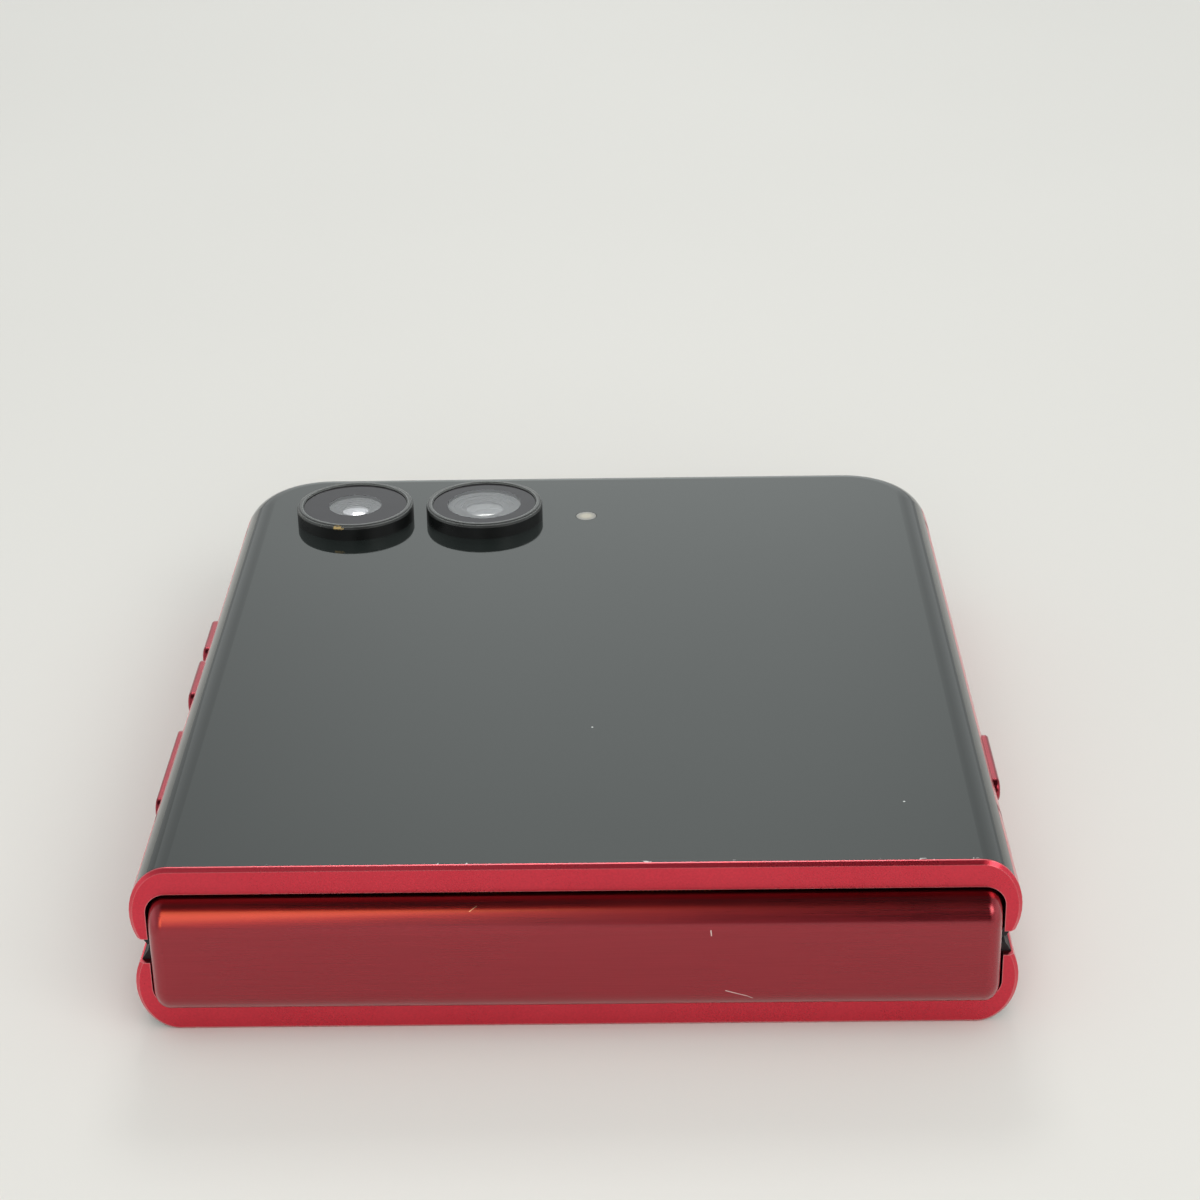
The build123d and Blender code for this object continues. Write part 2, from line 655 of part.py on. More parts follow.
def housing():
    """Hinge housing: bearing wall, spring retainer, rail grooves and floor."""
    section = spine_section(spine_wall + housing_play, housing_reach)
    solid = across(section, spring_start, housing_end)
    floor_y = fold_y - gear_offset - tooth_tip - 0.06
    bay = 2 * spine_half_height
    spring_bay = block(spring_start + 0.8, module_start, floor_y, fold_y, mid - bay, mid + bay)
    gear_bay = block(module_start + bearing_wall, low_rail_x - 0.45, floor_y, fold_y, mid - bay,
                     mid + bay)
    cheek_bay = block(cheek_x - side_play, low_rail_x - 0.45, y_spine, fold_y, mid - bay, mid + bay)
    solid -= spring_bay
    solid -= gear_bay
    solid -= cheek_bay
    for sign in (-1, 1):
        edge = mid + sign * shaft_land
        solid -= block(spring_start - 1, module_start + bearing_wall, y_spine, fold_y,
                       min(edge, mid + sign * bay), max(edge, mid + sign * bay))
    for rail_x, turned in ((low_rail_x, False), (high_rail_x, True)):
        groove = ring_sector(rail_inner - rail_play, rail_outer + rail_play, 80, -100)
        relief = ring_sector(rail_inner - rail_play, bracket_reach + 0.1, -38, -100)
        cut = across(groove + relief, rail_x - side_play, rail_x + rail_width + side_play)
        solid -= flip(cut) if turned else cut
    for z in gear_zs():
        solid -= rod(spring_start - 1, gear_x, shaft_y, z, shaft_radius + 0.01)
    for x in spine_screw_xs:
        solid -= extrude(Plane.XZ.offset(-spine_screw_y - 1) * Pos(x, mid) * Circle(screw_radius),
                         9)
    return solid


write("hinge_housings", both_ends(housing()))
shafts = [rod(spring_start, crank_x + crank_width * (i in (0, 3)), shaft_y, z, shaft_radius)
          for i, z in enumerate(gear_zs())]
write("gear_shafts", *[both_ends(s) for s in shafts])


def spine_screw(x):
    """A screw through the housing into the spine cover."""
    reach = spine_screw_y - (y_spine + screw_skin)
    spot = Plane.XZ.offset(-spine_screw_y) * Pos(x, mid) * Circle(screw_radius - 0.01)
    return extrude(spot, reach - 0.02)


write("spine_screws", *[both_ends(spine_screw(x)) for x in spine_screw_xs])

# ---- Friction springs: stacks of disc springs on the end shafts -----------------------------
def spring_stack(z):
    """Cone discs set rim to rim and bore to bore, drawn as one zigzag ring."""
    half = disc_sheet / 2
    radii = (shaft_radius + 0.04 + half, disc_outer - half)
    x0 = module_start - 0.02 - disc_count * disc_pitch
    xs = [x0 + i * disc_pitch for i in range(disc_count + 1)]
    outer = [(x, radii[i % 2] + half) for i, x in enumerate(xs)]
    inner = [(x, radii[i % 2] - half) for i, x in reversed(list(enumerate(xs)))]
    face = make_face(Polyline(*outer, *inner, outer[0]))
    placed = Plane(origin=(0, shaft_y, z), x_dir=(1, 0, 0), z_dir=(0, -1, 0)) * face
    return revolve(placed, Axis((0, shaft_y, z), (1, 0, 0)), 360)


write("friction_springs", *[both_ends(spring_stack(gear_zs()[i])) for i in (0, 3)])


# ---- Synchronising gears and crank arms -----------------------------------------------------
def gear_face(y, z, phase):
    """Spur gear section with straight-flanked teeth."""
    step = 360 / gear_teeth
    points = []
    for i in range(gear_teeth):
        a = i * step + phase
        for r, d in ((tooth_root, -0.31), (tooth_tip, -0.10), (tooth_tip, 0.10), (tooth_root, 0.31)):
            t = radians(a + d * step)
            points.append((y + r * cos(t), z + r * sin(t)))
    return make_face(Polyline(*points, points[0]))


def gear(index):
    """One gear of the row: a tooth of every other gear points at its neighbours."""
    z = gear_zs()[index]
    phase = 90 + (index % 2) * 180 / gear_teeth
    body = across(gear_face(shaft_y, z, phase), gear_x, crank_x - 0.05)
    return body - rod(gear_x - 1, crank_x + 1, shaft_y, z, shaft_radius + shaft_play)


def sync_arm(index):
    """End gear with its crank and the pin that rides in the cheek's slot."""
    z = gear_zs()[index]
    pin_y = shaft_y + crank_length
    link = Pos((shaft_y + pin_y) / 2, z) * SlotOverall(crank_length + 2 * crank_radius,
                                                       2 * crank_radius)
    crank = across(link, crank_x - 0.05, crank_x + crank_width)
    crank -= rod(gear_x - 1, crank_x + 2, shaft_y, z, shaft_radius + shaft_play)
    pin = rod(crank_x, cheek_x + cheek_width, pin_y, z, pin_radius)
    return gear(index) + crank + pin


write("lower_sync_arms", both_ends(sync_arm(0)))
write("lower_idler_gears", both_ends(gear(1)))
write("upper_idler_gears", both_ends(gear(2)))
write("upper_sync_arms", both_ends(sync_arm(3)))


# ---- Flex cables across the hinge -----------------------------------------------------------
def flex_ribbon(x):
    """A thin ribbon from the lower half round the inside of the spine to the upper half."""
    near = cavity_start + 0.6
    apex = y_spine + spine_wall + 0.35

    def side(offset):
        r = flex_bend - offset
        y = apex + offset
        low = flex_z + offset
        high = 2 * mid - low
        k = r * sqrt(0.5)
        return [(near, low), (y + r, low), (y + r - k, low + r - k), (y, low + r), (y, high - r),
                (y + r - k, high - r + k), (y + r, high), (near, high)]

    o, i = side(0.0), side(flex_thickness)
    edges = [Line(o[0], o[1]), ThreePointArc(o[1], o[2], o[3]), Line(o[3], o[4]),
             ThreePointArc(o[4], o[5], o[6]), Line(o[6], o[7]), Line(o[7], i[7]),
             Line(i[7], i[6]), ThreePointArc(i[6], i[5], i[4]), Line(i[4], i[3]),
             ThreePointArc(i[3], i[2], i[1]), Line(i[1], i[0]), Line(i[0], o[0])]
    return across(make_face(edges), x - flex_width / 2, x + flex_width / 2)


write("hinge_flex_cables", *[flex_ribbon(x) for x in flex_xs])

# ---- Inside the lower half ------------------------------------------------------------------
inside_half = corner_x + cavity_u - 1.0
coil_under = glass_seat + 0.05
battery_low = coil_under + coil_thickness + 0.05
battery_high = plate_low - battery_swell
battery_near = cavity_start + 1.4
battery_far = tray_y - 9.0
battery = fillet(tablet(-inside_half, inside_half, battery_near, battery_far, battery_low,
                        battery_high, 2.0).edges().group_by(Axis.Z)[-1], battery_round)
write("lower_battery", battery)
coil_y = (battery_near + battery_far) / 2
coil_outer = (battery_far - battery_near) / 2 - coil_margin
coil = disc(0, coil_y, coil_under, coil_under + coil_thickness, coil_outer)
write("charging_coil", coil - disc(0, coil_y, 0, mid, coil_outer - coil_band))
board_near = tray_y + 7.6
board_far = corner_y + cavity_u - 0.5
board_top = lower_board_depth + board_thickness
sub_board = tablet(-inside_half, inside_half, board_near, board_far, lower_board_depth, board_top,
                   board_corner)
for dx, dy, w, l, h in lower_parts:
    x0, y0 = dx - inside_half, board_near + dy
    sub_board += block(x0, x0 + w, y0, y0 + l, board_top - 0.05, board_top + h)
write("sub_board", sub_board)

port_near = y_far - 0.35 - port_length
port_plane = Plane.XZ.offset(-port_near) * Pos(0, port_depth)
port_shell_w, port_shell_h = port_width - 0.12, port_height - 0.12
port_shell = extrude(port_plane * SlotOverall(port_shell_w, port_shell_h), -port_length)
port_cavity = extrude(port_plane * SlotOverall(port_shell_w - 2 * port_wall,
                                               port_shell_h - 2 * port_wall), -port_length - 1)
port_shell -= port_cavity - block(-9, 9, port_near - 1, port_near + 0.8, 0, mid)
tongue = block(-3.35, 3.35, port_near + 0.5, port_near + port_length - 1.0, port_depth - 0.35,
               port_depth + 0.35)
write("usb_c_receptacle", port_shell + tongue)
part_low = board_top + 0.1
speaker_x0 = port_width / 2 + speaker_margin
speaker_x1 = inside_half - speaker_end_gap
speaker_y = (board_near + speaker_reach[0], board_far - speaker_reach[1])
speaker = tablet(speaker_x0, speaker_x1, *speaker_y, part_low, plate_low - 0.1, 1.5)
speaker -= tablet(speaker_x0 + 2.0, speaker_x1 - 2.0, speaker_y[0] + 1.5, speaker_y[1] - 1.8,
                  plate_low - 0.5, plate_low + 1, 1.0)
write("loudspeaker", speaker)
motor_x = [a - inside_half for a in motor_from_side]
motor_y = (board_near + motor_reach[0], board_far - motor_reach[1])
motor = tablet(*motor_x, *motor_y, part_low, plate_low - 0.2, 1.2)
write("haptic_motor", motor)


def magnet(side, y, low):
    """A bar magnet against the side wall."""
    inner, outer = side * (inside_half - magnet_thickness), side * inside_half
    return block(min(inner, outer), max(inner, outer), y, y + magnet_length, low,
                 plate_low - 0.05)


write("lower_magnets", magnet(-1, tray_y + 2.5, 2.4), magnet(1, tray_y + 8.0, 2.4))

# SIM tray with its face flush in the side of the frame, and the socket it slides into
face_cut = form(0, 0.5, frame_top, tray_y - tray_face_length) & stadium(
    tray_face_length, tray_face_height, tray_y, port_depth, half_width - 1.6, half_width + 1)
tray_low = port_depth - tray_thickness / 2
tray_x1 = half_width - 1.5
tray_x0 = tray_x1 - tray_length
tray = block(tray_x0, tray_x1, tray_y - tray_width / 2, tray_y + tray_width / 2, tray_low,
             tray_low + tray_thickness)
card_x = tray_x0 + 1.2
tray -= block(card_x, card_x + card_length, tray_y - card_width / 2, tray_y + card_width / 2,
              tray_low + 0.2, tray_low + 2)
tray -= block(card_x + 1.5, card_x + card_length - 1.5, tray_y - card_width / 2 + 1.3,
              tray_y + card_width / 2 - 1.3, tray_low - 1, tray_low + 2)
tray_pin = extrude(Plane.YZ.offset(half_width - 3) * Pos(tray_y + tray_face_length / 2 - 1.3,
                                                         port_depth) * Circle(0.4), 5)
write("sim_tray", (tray + face_cut) - tray_pin)
socket_x1 = half_width - wall_thickness - 0.3


def tray_space(margin, x1):
    """The tray's outline with a margin all round, open towards the side."""
    return block(tray_x0 - margin, x1, tray_y - tray_width / 2 - margin,
                 tray_y + tray_width / 2 + margin, tray_low - margin,
                 tray_low + tray_thickness + margin)


write("sim_socket", tray_space(socket_gap + socket_wall, socket_x1)
      - tray_space(socket_gap, socket_x1 + 1))

# ---- Keys, in the upper half's sides ----------------------------------------------------------
flange_x = half_width - wall_thickness - 0.05


def key(span, proud, side):
    """A pill-shaped key with the inner flange that keeps it in its slot."""
    length = span[1] - span[0]
    y = (span[0] + span[1]) / 2
    cap = stadium(length, key_height, y, key_depth, flange_x - 0.1, half_width + proud)
    cap = fillet(cap.faces().sort_by(Axis.X)[-1].edges(), min(0.3, proud * 0.8))
    cap += stadium(length + 2 * flange_extra, key_height + 2 * flange_extra, y, key_depth,
                   flange_x - key_flange, flange_x)
    cap = flip(cap)
    return cap if side > 0 else mirror(cap, about=Plane.YZ)


key_list = (("volume_up_key", volume_up_span, key_proud, -1),
            ("volume_down_key", volume_down_span, key_proud, -1),
            ("power_key", power_span, power_proud, -1),
            ("assist_key", assist_span, key_proud, 1))
switches = []
for name, span, proud, side in key_list:
    write(name, key(span, proud, side))
    y = (span[0] + span[1]) / 2
    x1 = flange_x - key_flange - key_travel - 0.04
    dome = rod(x1 - 0.35, x1, y, key_depth, switch_radius)
    strip = block(x1 - 0.6, x1 - 0.3, span[0] + 0.3, span[1] - 0.3, key_depth - 1.3,
                  key_depth + 1.3)
    one = flip(dome + strip)
    switches.append(one if side > 0 else mirror(one, about=Plane.YZ))
write("key_switches", *switches)

# ---- Inside the upper half ---------------------------------------------------------------------
switch_half = flange_x - key_flange - key_travel - 0.94
top_battery = fillet(tablet(-switch_half, switch_half, battery_near, battery_far, battery_low,
                            battery_high, 2.0).edges().group_by(Axis.Z)[-1], battery_round)
write("upper_battery", flip(top_battery))
write("cover_display_panel", flip(block(-panel_half, panel_half, panel_near, panel_far,
                                        glass_seat, glass_seat + panel_thickness)))
board_top = upper_board_depth + board_thickness
main_board = tablet(-switch_half, switch_half, battery_far + board_gap, board_far,
                    upper_board_depth, board_top, board_corner)
main_board -= [block(x - module_half - 0.3, x + module_half + 0.3, y - module_half - 0.3,
                     y + module_half + 0.3, 0, mid) for x, y in ring_places]
main_board -= disc(0, front_camera_y, 0, mid, front_camera_radius + 0.8)
for dx, dy, w, l, h in upper_parts:
    x0, y0 = dx - switch_half, battery_far + board_gap + dy
    main_board += block(x0, x0 + w, y0, y0 + l, board_top - 0.05, board_top + h)
write("main_board", flip(main_board))

# camera rings are proud of the glass: here "up" is away from the outer face, so depth is negative
ring_foot = glass_seat + 0.1


def lens_ring(x, y):
    """Turned ring with a stepped seat for its glass and a skirt through the cover glass."""
    outer, top = ring_radius, -ring_height
    section = make_face(Polyline(
        (outer, 0.0), (outer, top + 0.35), (outer - 0.1, top + 0.1), (outer - 0.3, top),
        (outer - ring_rim + 0.12, top), (outer - ring_rim, top + 0.12),
        (outer - ring_rim, top + 0.3 + 0.45), (outer - 1.25, top + 0.3 + 0.45),
        (outer - 1.25, ring_foot), (outer - 0.35, ring_foot), (outer - 0.35, 0.0), (outer, 0.0)))
    placed = Plane(origin=(x, y, 0), x_dir=(1, 0, 0), z_dir=(0, -1, 0)) * section
    return revolve(placed, Axis((x, y, 0), (0, 0, 1)), 360)


glass_top = -ring_height + 0.22
for name, (x, y) in (("main", ring_places[0]), ("wide", ring_places[1])):
    write(f"{name}_lens_ring", flip(lens_ring(x, y)))
    write(f"{name}_lens_glass", flip(disc(x, y, glass_top, -ring_height + 0.75,
                                          ring_radius - ring_rim - 0.03)))
barrel_top = -ring_height + 0.85


def lens_bowl(x, y, opening):
    """The hollow cone from a camera's opening down to its domed front lens."""
    lens, floor = opening * front_lens_share, barrel_top + lens_well
    rise, centre = front_lens_rise, (x, y, 0)
    ball = (lens ** 2 + rise ** 2) / (2 * rise)
    middle = lens / 2
    middle_depth = floor - rise + ball - sqrt(ball ** 2 - middle ** 2)
    edges = [Line((0, barrel_top - 0.1), (opening, barrel_top - 0.1)),
             Line((opening, barrel_top - 0.1), (opening, barrel_top + 0.1)),
             Line((opening, barrel_top + 0.1), (lens, floor)),
             ThreePointArc((lens, floor), (middle, middle_depth), (0, floor - rise)),
             Line((0, floor - rise), (0, barrel_top - 0.1))]
    placed = Plane(origin=centre, x_dir=(1, 0, 0), z_dir=(0, -1, 0)) * make_face(edges)
    return revolve(placed, Axis(centre, (0, 0, 1)), 360)


for name, (x, y), opening in (("main_camera", ring_places[0], main_lens_radius),
                              ("wide_camera", ring_places[1], wide_lens_radius)):
    module = block(x - module_half, x + module_half, y - module_half, y + module_half, ring_foot
                   + 0.05, plate_low - 0.1)
    barrel = disc(x, y, barrel_top, ring_foot + 0.1, ring_radius - 1.35)
    write(name, flip(module + barrel - lens_bowl(x, y, opening)))
write("flash_window", flip(disc(flash_x, flash_y, 0.0, 2.3, flash_radius)))
selfie = disc(0, front_camera_y, 1.2, screen_under + 0.1, front_camera_radius - 0.05)
selfie -= disc(0, front_camera_y, screen_under - 0.25, mid, 0.9)
write("front_camera", flip(selfie))
write("earpiece", flip(tablet(4.0, 15.0, board_far - 4.2, board_far - 0.2, 3.6, plate_low - 0.2,
                              1.0)))
write("upper_magnets", *[flip(magnet(side, battery_far + 14.0, 3.6)) for side in (-1, 1)])
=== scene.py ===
import math

import bpy
import numpy as np
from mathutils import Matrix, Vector


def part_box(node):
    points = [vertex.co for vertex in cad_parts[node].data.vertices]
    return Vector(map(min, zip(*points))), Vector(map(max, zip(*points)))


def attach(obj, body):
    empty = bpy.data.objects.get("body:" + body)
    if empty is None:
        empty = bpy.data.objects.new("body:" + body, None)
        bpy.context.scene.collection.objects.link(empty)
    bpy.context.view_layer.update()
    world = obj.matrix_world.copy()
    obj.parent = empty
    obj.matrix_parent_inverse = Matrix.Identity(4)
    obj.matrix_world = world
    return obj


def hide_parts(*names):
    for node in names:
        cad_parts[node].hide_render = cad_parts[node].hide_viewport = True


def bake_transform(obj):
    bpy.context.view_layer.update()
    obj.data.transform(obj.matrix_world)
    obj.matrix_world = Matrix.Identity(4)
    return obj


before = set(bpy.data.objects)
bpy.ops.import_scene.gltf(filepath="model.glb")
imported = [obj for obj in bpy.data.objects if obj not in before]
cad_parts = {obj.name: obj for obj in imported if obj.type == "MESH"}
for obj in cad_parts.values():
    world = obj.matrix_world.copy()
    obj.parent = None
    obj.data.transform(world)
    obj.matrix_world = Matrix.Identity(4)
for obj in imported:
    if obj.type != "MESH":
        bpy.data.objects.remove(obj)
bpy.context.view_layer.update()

# ---- Camera -----------------------------------------------------------------------------------
# A hand-held view from 26 cm away, looking 25 degrees down on the hinge end of the closed phone.
camera = bpy.data.objects.new("camera", bpy.data.cameras.new("camera"))
bpy.context.scene.collection.objects.link(camera)
bpy.context.scene.camera = camera
camera.location = (0.005648, -0.231453, 0.128740)
camera.rotation_euler = (1.13225161, 0.0165815806, 0.00841121518)
camera.data.sensor_width = 36.0
camera.data.lens = 80.45
camera.data.clip_start = 0.01
bpy.context.scene.view_settings.view_transform = "Standard"


# ---- Table, room and lamps ----------------------------------------------------------------------
# A smooth laminate table top, pale and slightly warm, in a bright room with matt white walls. The
# light comes from a wide ceiling panel, a spot and a window beyond the phone, the bright wall behind
# the camera, and one lamp on each side of it.
def linear(code):
    """A hex colour as shown on a screen, turned to linear red, green, blue and alpha."""
    shown = [int(code[i:i + 2], 16) / 255 for i in (1, 3, 5)]
    return [c / 12.92 if c <= 0.04045 else ((c + 0.055) / 1.055) ** 2.4 for c in shown] + [1.0]


def add(tree, kind, sockets=None, out=0, to=None, **settings):
    """Adds a node with its settings, gives its sockets values or links, links its output to another
    socket where one is named, and returns that output."""
    made = tree.nodes.new("ShaderNode" + kind)
    for name, value in settings.items():
        setattr(made, name, value)
    for key, value in (sockets or {}).items():
        if isinstance(value, bpy.types.NodeSocket):
            tree.links.new(value, made.inputs[key])
        else:
            made.inputs[key].default_value = value
    if to is not None:
        tree.links.new(made.outputs[out], to)
    return made.outputs[out]


def finish(name, sockets):
    """A new material around one Principled shader with these values. Returns the material, its
    tree, its shader's sockets and the place on the piece, in metres."""
    material = bpy.data.materials.new(name)
    material.use_nodes = True
    tree = material.node_tree
    shader = tree.nodes["Principled BSDF"]
    for key, value in sockets.items():
        shader.inputs[key].default_value = value
    return material, tree, shader.inputs, add(tree, "TexCoord", out="Object")


def patches(tree, where, width, low, high, detail=3.0, stretch=(1, 1, 1), spread=0.2, to=None):
    """A value that drifts between low and high over patches of this width in metres, each of them
    longer along X, Y and Z by the numbers in stretch."""
    placed = add(tree, "Mapping", {"Vector": where, "Scale": [1 / s for s in stretch]})
    noise = add(tree, "TexNoise", {"Vector": placed, "Scale": 1 / width, "Detail": detail})
    return add(tree, "MapRange", {0: noise, 1: 0.5 - spread, 2: 0.5 + spread, 3: low, 4: high},
               to=to)


def sheet_of_points(name, points, material, sharp=None):
    """A mesh from an array of points, rows by columns, with its last column joined to its first. A
    row that is one point becomes a pole."""
    rows, columns = points.shape[:2]
    index = np.arange(rows * columns).reshape(rows, columns)
    pole = np.abs(points - points[:, :1]).max(axis=(1, 2)) < 1e-9
    index[pole] = index[pole, :1]
    index = np.hstack([index, index[:, :1]])
    a, b, c, d = index[:-1, :-1], index[:-1, 1:], index[1:, 1:], index[1:, :-1]
    corners = np.stack([a, b, c, d], -1).reshape(-1, 4)
    top, bottom = corners[:, 0] == corners[:, 1], corners[:, 2] == corners[:, 3]
    used, order = np.unique(corners, return_inverse=True)
    corners = order.reshape(-1, 4)
    faces = corners[~top & ~bottom].tolist() + corners[top & ~bottom][:, [0, 2, 3]].tolist()
    faces += corners[bottom & ~top][:, [0, 1, 2]].tolist()
    mesh = bpy.data.meshes.new(name)
    mesh.from_pydata(points.reshape(-1, 3)[used].tolist(), [], faces)
    mesh.shade_smooth()
    if sharp is not None:
        mesh.set_sharp_from_angle(angle=math.radians(sharp))
    mesh.materials.append(material)
    made = bpy.data.objects.new(name, mesh)
    bpy.context.scene.collection.objects.link(made)
    return made


def looked_at(tree):
    """1 for what the camera sees, itself or by gloss or through glass, and 0 for scattered light."""
    ray = add(tree, "LightPath", out="Is Camera Ray")
    either = add(tree, "Math", {0: ray, 1: ray.node.outputs["Is Glossy Ray"]}, operation="MAXIMUM")
    return add(tree, "Math", {0: either, 1: ray.node.outputs["Is Transmission Ray"]},
               operation="MAXIMUM")


laminate, tree, into, where = finish("laminate_table", {"Roughness": 0.55, "Specular IOR Level": 0.25})
tone = patches(tree, where, 0.18, 0.0, 1.0, detail=2.0)
add(tree, "Mix", {0: tone, 6: linear("#E2E0DC"), 7: linear("#E5E3DF")}, 2, into["Base Color"],
    data_type="RGBA")
grain = patches(tree, where, 0.0008, 0.0, 1.0, detail=4.0)
add(tree, "Bump", {"Distance": 4e-6, "Height": grain}, to=into["Normal"])
# Far from the phone the table is seen in one pale tone, so that no horizon stands out.
distance = add(tree, "VectorMath", {0: where}, "Value", operation="LENGTH")
far_off = add(tree, "MapRange", {0: distance, 1: 0.55, 2: 1.3}, interpolation_type="SMOOTHSTEP")
far_off = add(tree, "Math", {0: far_off, 1: looked_at(tree)}, operation="MULTIPLY")
backdrop = linear("#E1E2DC")
pale = add(tree, "Emission", {"Color": backdrop, "Strength": 1.0})
add(tree, "MixShader", {0: far_off, 1: tree.nodes["Principled BSDF"].outputs[0], 2: pale},
    to=tree.nodes["Material Output"].inputs["Surface"])
table_reach, table_drop = 4.0, 0.00002         # it lies this far below the phone's lowest face
ring = np.linspace(0, 2 * np.pi, 97)[:-1]
radii = np.array([table_reach, 1.0, 0.3, 0.1, 0.0])
table = sheet_of_points("table_top", np.stack([
    radii[:, None] * np.cos(ring), radii[:, None] * np.sin(ring),
    np.full((len(radii), len(ring)), -table_drop)], -1), laminate)

# The camera sees the walls in the table's pale tone. Gloss shows them a little under full white and
# dimmer to each side, with dark parts overhead and on the right, where someone stands behind the
# camera. As light they have half their strength.
world = bpy.data.worlds.new("room")
bpy.context.scene.world = world
world.use_nodes = True
tree = world.node_tree
toward = add(tree, "TexCoord", out="Generated")
side = add(tree, "SeparateXYZ", {0: toward})
ahead, up = side.node.outputs["Y"], side.node.outputs["Z"]
shade = add(tree, "MapRange", {0: side, 1: -0.10, 2: 0.05}, interpolation_type="SMOOTHSTEP")
overhead = add(tree, "MapRange", {0: up, 1: 0.80, 2: 0.97}, interpolation_type="SMOOTHSTEP")
shade = add(tree, "Math", {0: shade, 1: overhead}, operation="MAXIMUM")
for axis, clear, dark in ((side, 0.58, 0.40), (ahead, 0.75, 0.45), (up, 0.0, 0.14)):
    within = add(tree, "MapRange", {0: axis, 1: clear, 2: dark}, interpolation_type="SMOOTHSTEP")
    shade = add(tree, "Math", {0: shade, 1: within}, operation="MULTIPLY")
aside = add(tree, "Math", {0: side}, operation="ABSOLUTE")
dimmed = add(tree, "MapRange", {0: aside, 1: 0.04, 2: 0.28}, interpolation_type="SMOOTHSTEP")
bright = add(tree, "MapRange", {0: aside, 1: 0.95, 2: 0.70}, interpolation_type="SMOOTHSTEP")
dimmed = add(tree, "Math", {0: dimmed, 1: bright}, operation="MULTIPLY")
wall = add(tree, "Mix", {0: dimmed, 6: linear("#F5FBF9"), 7: linear("#BCBFBE")}, 2, data_type="RGBA")
wall = add(tree, "Mix", {0: shade, 6: wall, 7: linear("#474343")}, 2, data_type="RGBA")
camera_ray = add(tree, "LightPath", out="Is Camera Ray")
wall = add(tree, "Mix", {0: camera_ray, 6: wall, 7: backdrop}, 2, data_type="RGBA")
seen = add(tree, "Background", {"Color": wall, "Strength": 1.0})
light = tree.nodes["Background"]
light.inputs["Color"].default_value = linear("#F0F5F5")
light.inputs["Strength"].default_value = 0.50
add(tree, "MixShader", {0: looked_at(tree), 1: light.outputs[0], 2: seen},
    to=tree.nodes["World Output"].inputs["Surface"])


def panel_lamp(name, place, aim, width, height, brightness, colour, in_gloss=True):
    """A flat lamp of this width and height that faces a point. Brightness is that of its face,
    where 1 is a white card in full light, so its power is brightness times pi times its area."""
    lamp = bpy.data.lights.new(name, "AREA")
    lamp.shape, lamp.size, lamp.size_y = "RECTANGLE", width, height
    lamp.energy = brightness * math.pi * width * height
    lamp.color = linear(colour)[:3]
    made = bpy.data.objects.new(name, lamp)
    made.location = place
    made.rotation_euler = (Vector(place) - Vector(aim)).to_track_quat("Z", "Y").to_euler()
    made.visible_camera, made.visible_glossy = False, in_gloss
    bpy.context.scene.collection.objects.link(made)
    return made


panel_lamp("ceiling_panel", (0.0, -0.30, 1.2), (0, 0, 0), 1.5, 1.3, 0.53, "#FFFEFA", in_gloss=False)
panel_lamp("ceiling_spot", (-0.02, 0.75, 0.70), (0, 0, 0), 0.30, 0.22, 7.0, "#FFFFFC")
panel_lamp("far_window", (0.05, 1.5, 0.62), (0, 0, 0.01), 2.0, 0.95, 0.25, "#F8FEFF")
panel_lamp("near_wall", (0.1, -1.5, 0.75), (0, 0, 0.01), 1.6, 0.9, 3.6, "#FFFDFA", in_gloss=False)
panel_lamp("right_lamp", (0.60, -0.55, 0.70), (0, 0, 0.01), 0.45, 0.45, 3.0, "#FFFEFA")
# The warm lamp is a local one that only the hinge spine catches.
warm = panel_lamp("warm_lamp", (-0.28, -0.65, 0.58), (-0.03, -0.04, 0.01), 0.29, 0.98, 2.3,
                  "#FFDF86")
caught = bpy.data.collections.new("caught_by_warm_lamp")
caught.objects.link(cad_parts["spine_cover"])
warm.light_linking.receiver_collection = caught


# ---- Frames of both halves ------------------------------------------------------------------------
# Milled aluminium bands with blasted, dyed and sealed sides. The eye sees a deep red satin metal, a
# fine even grain, a paler polished line on each edge, made paler still along the hinge end as a painted
# highlight, and bare metal where an edge is knocked.
def dress(material, *nodes):
    """Gives CAD nodes their finish."""
    for name in nodes:
        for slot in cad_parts[name].material_slots:
            slot.material = material


def edge_line(tree, radius, low, high):
    """1 along edges about this radius in metres wide, where the cosine of the angle between the
    rounded normal and the flat one is low or less, and 0 on faces, where it is high or more."""
    round_normal = add(tree, "Bevel", {"Radius": radius}, samples=6)
    flat_normal = add(tree, "NewGeometry", out="Normal")
    alike = add(tree, "VectorMath", {0: round_normal, 1: flat_normal}, "Value",
                operation="DOT_PRODUCT")
    return add(tree, "MapRange", {0: alike, 1: high, 2: low, 3: 0.0, 4: 1.0})


def specks(tree, where, spacing, size, share):
    """1 in specks of this size in metres that lie this far apart as seen from above, in this share
    of the places where one could lie, and 0 between them."""
    grid = add(tree, "TexVoronoi", {"Vector": where, "Scale": 1 / spacing, "Randomness": 1.0},
               "Distance", voronoi_dimensions="2D")
    near = add(tree, "MapRange", {0: grid, 1: size / spacing / 2, 2: size / spacing / 3,
                                  3: 0.0, 4: 1.0})
    chosen = add(tree, "SeparateColor", {0: grid.node.outputs["Color"]})
    kept = add(tree, "Math", {0: chosen, 1: share}, operation="LESS_THAN")
    return add(tree, "Math", {0: near, 1: kept}, operation="MULTIPLY")


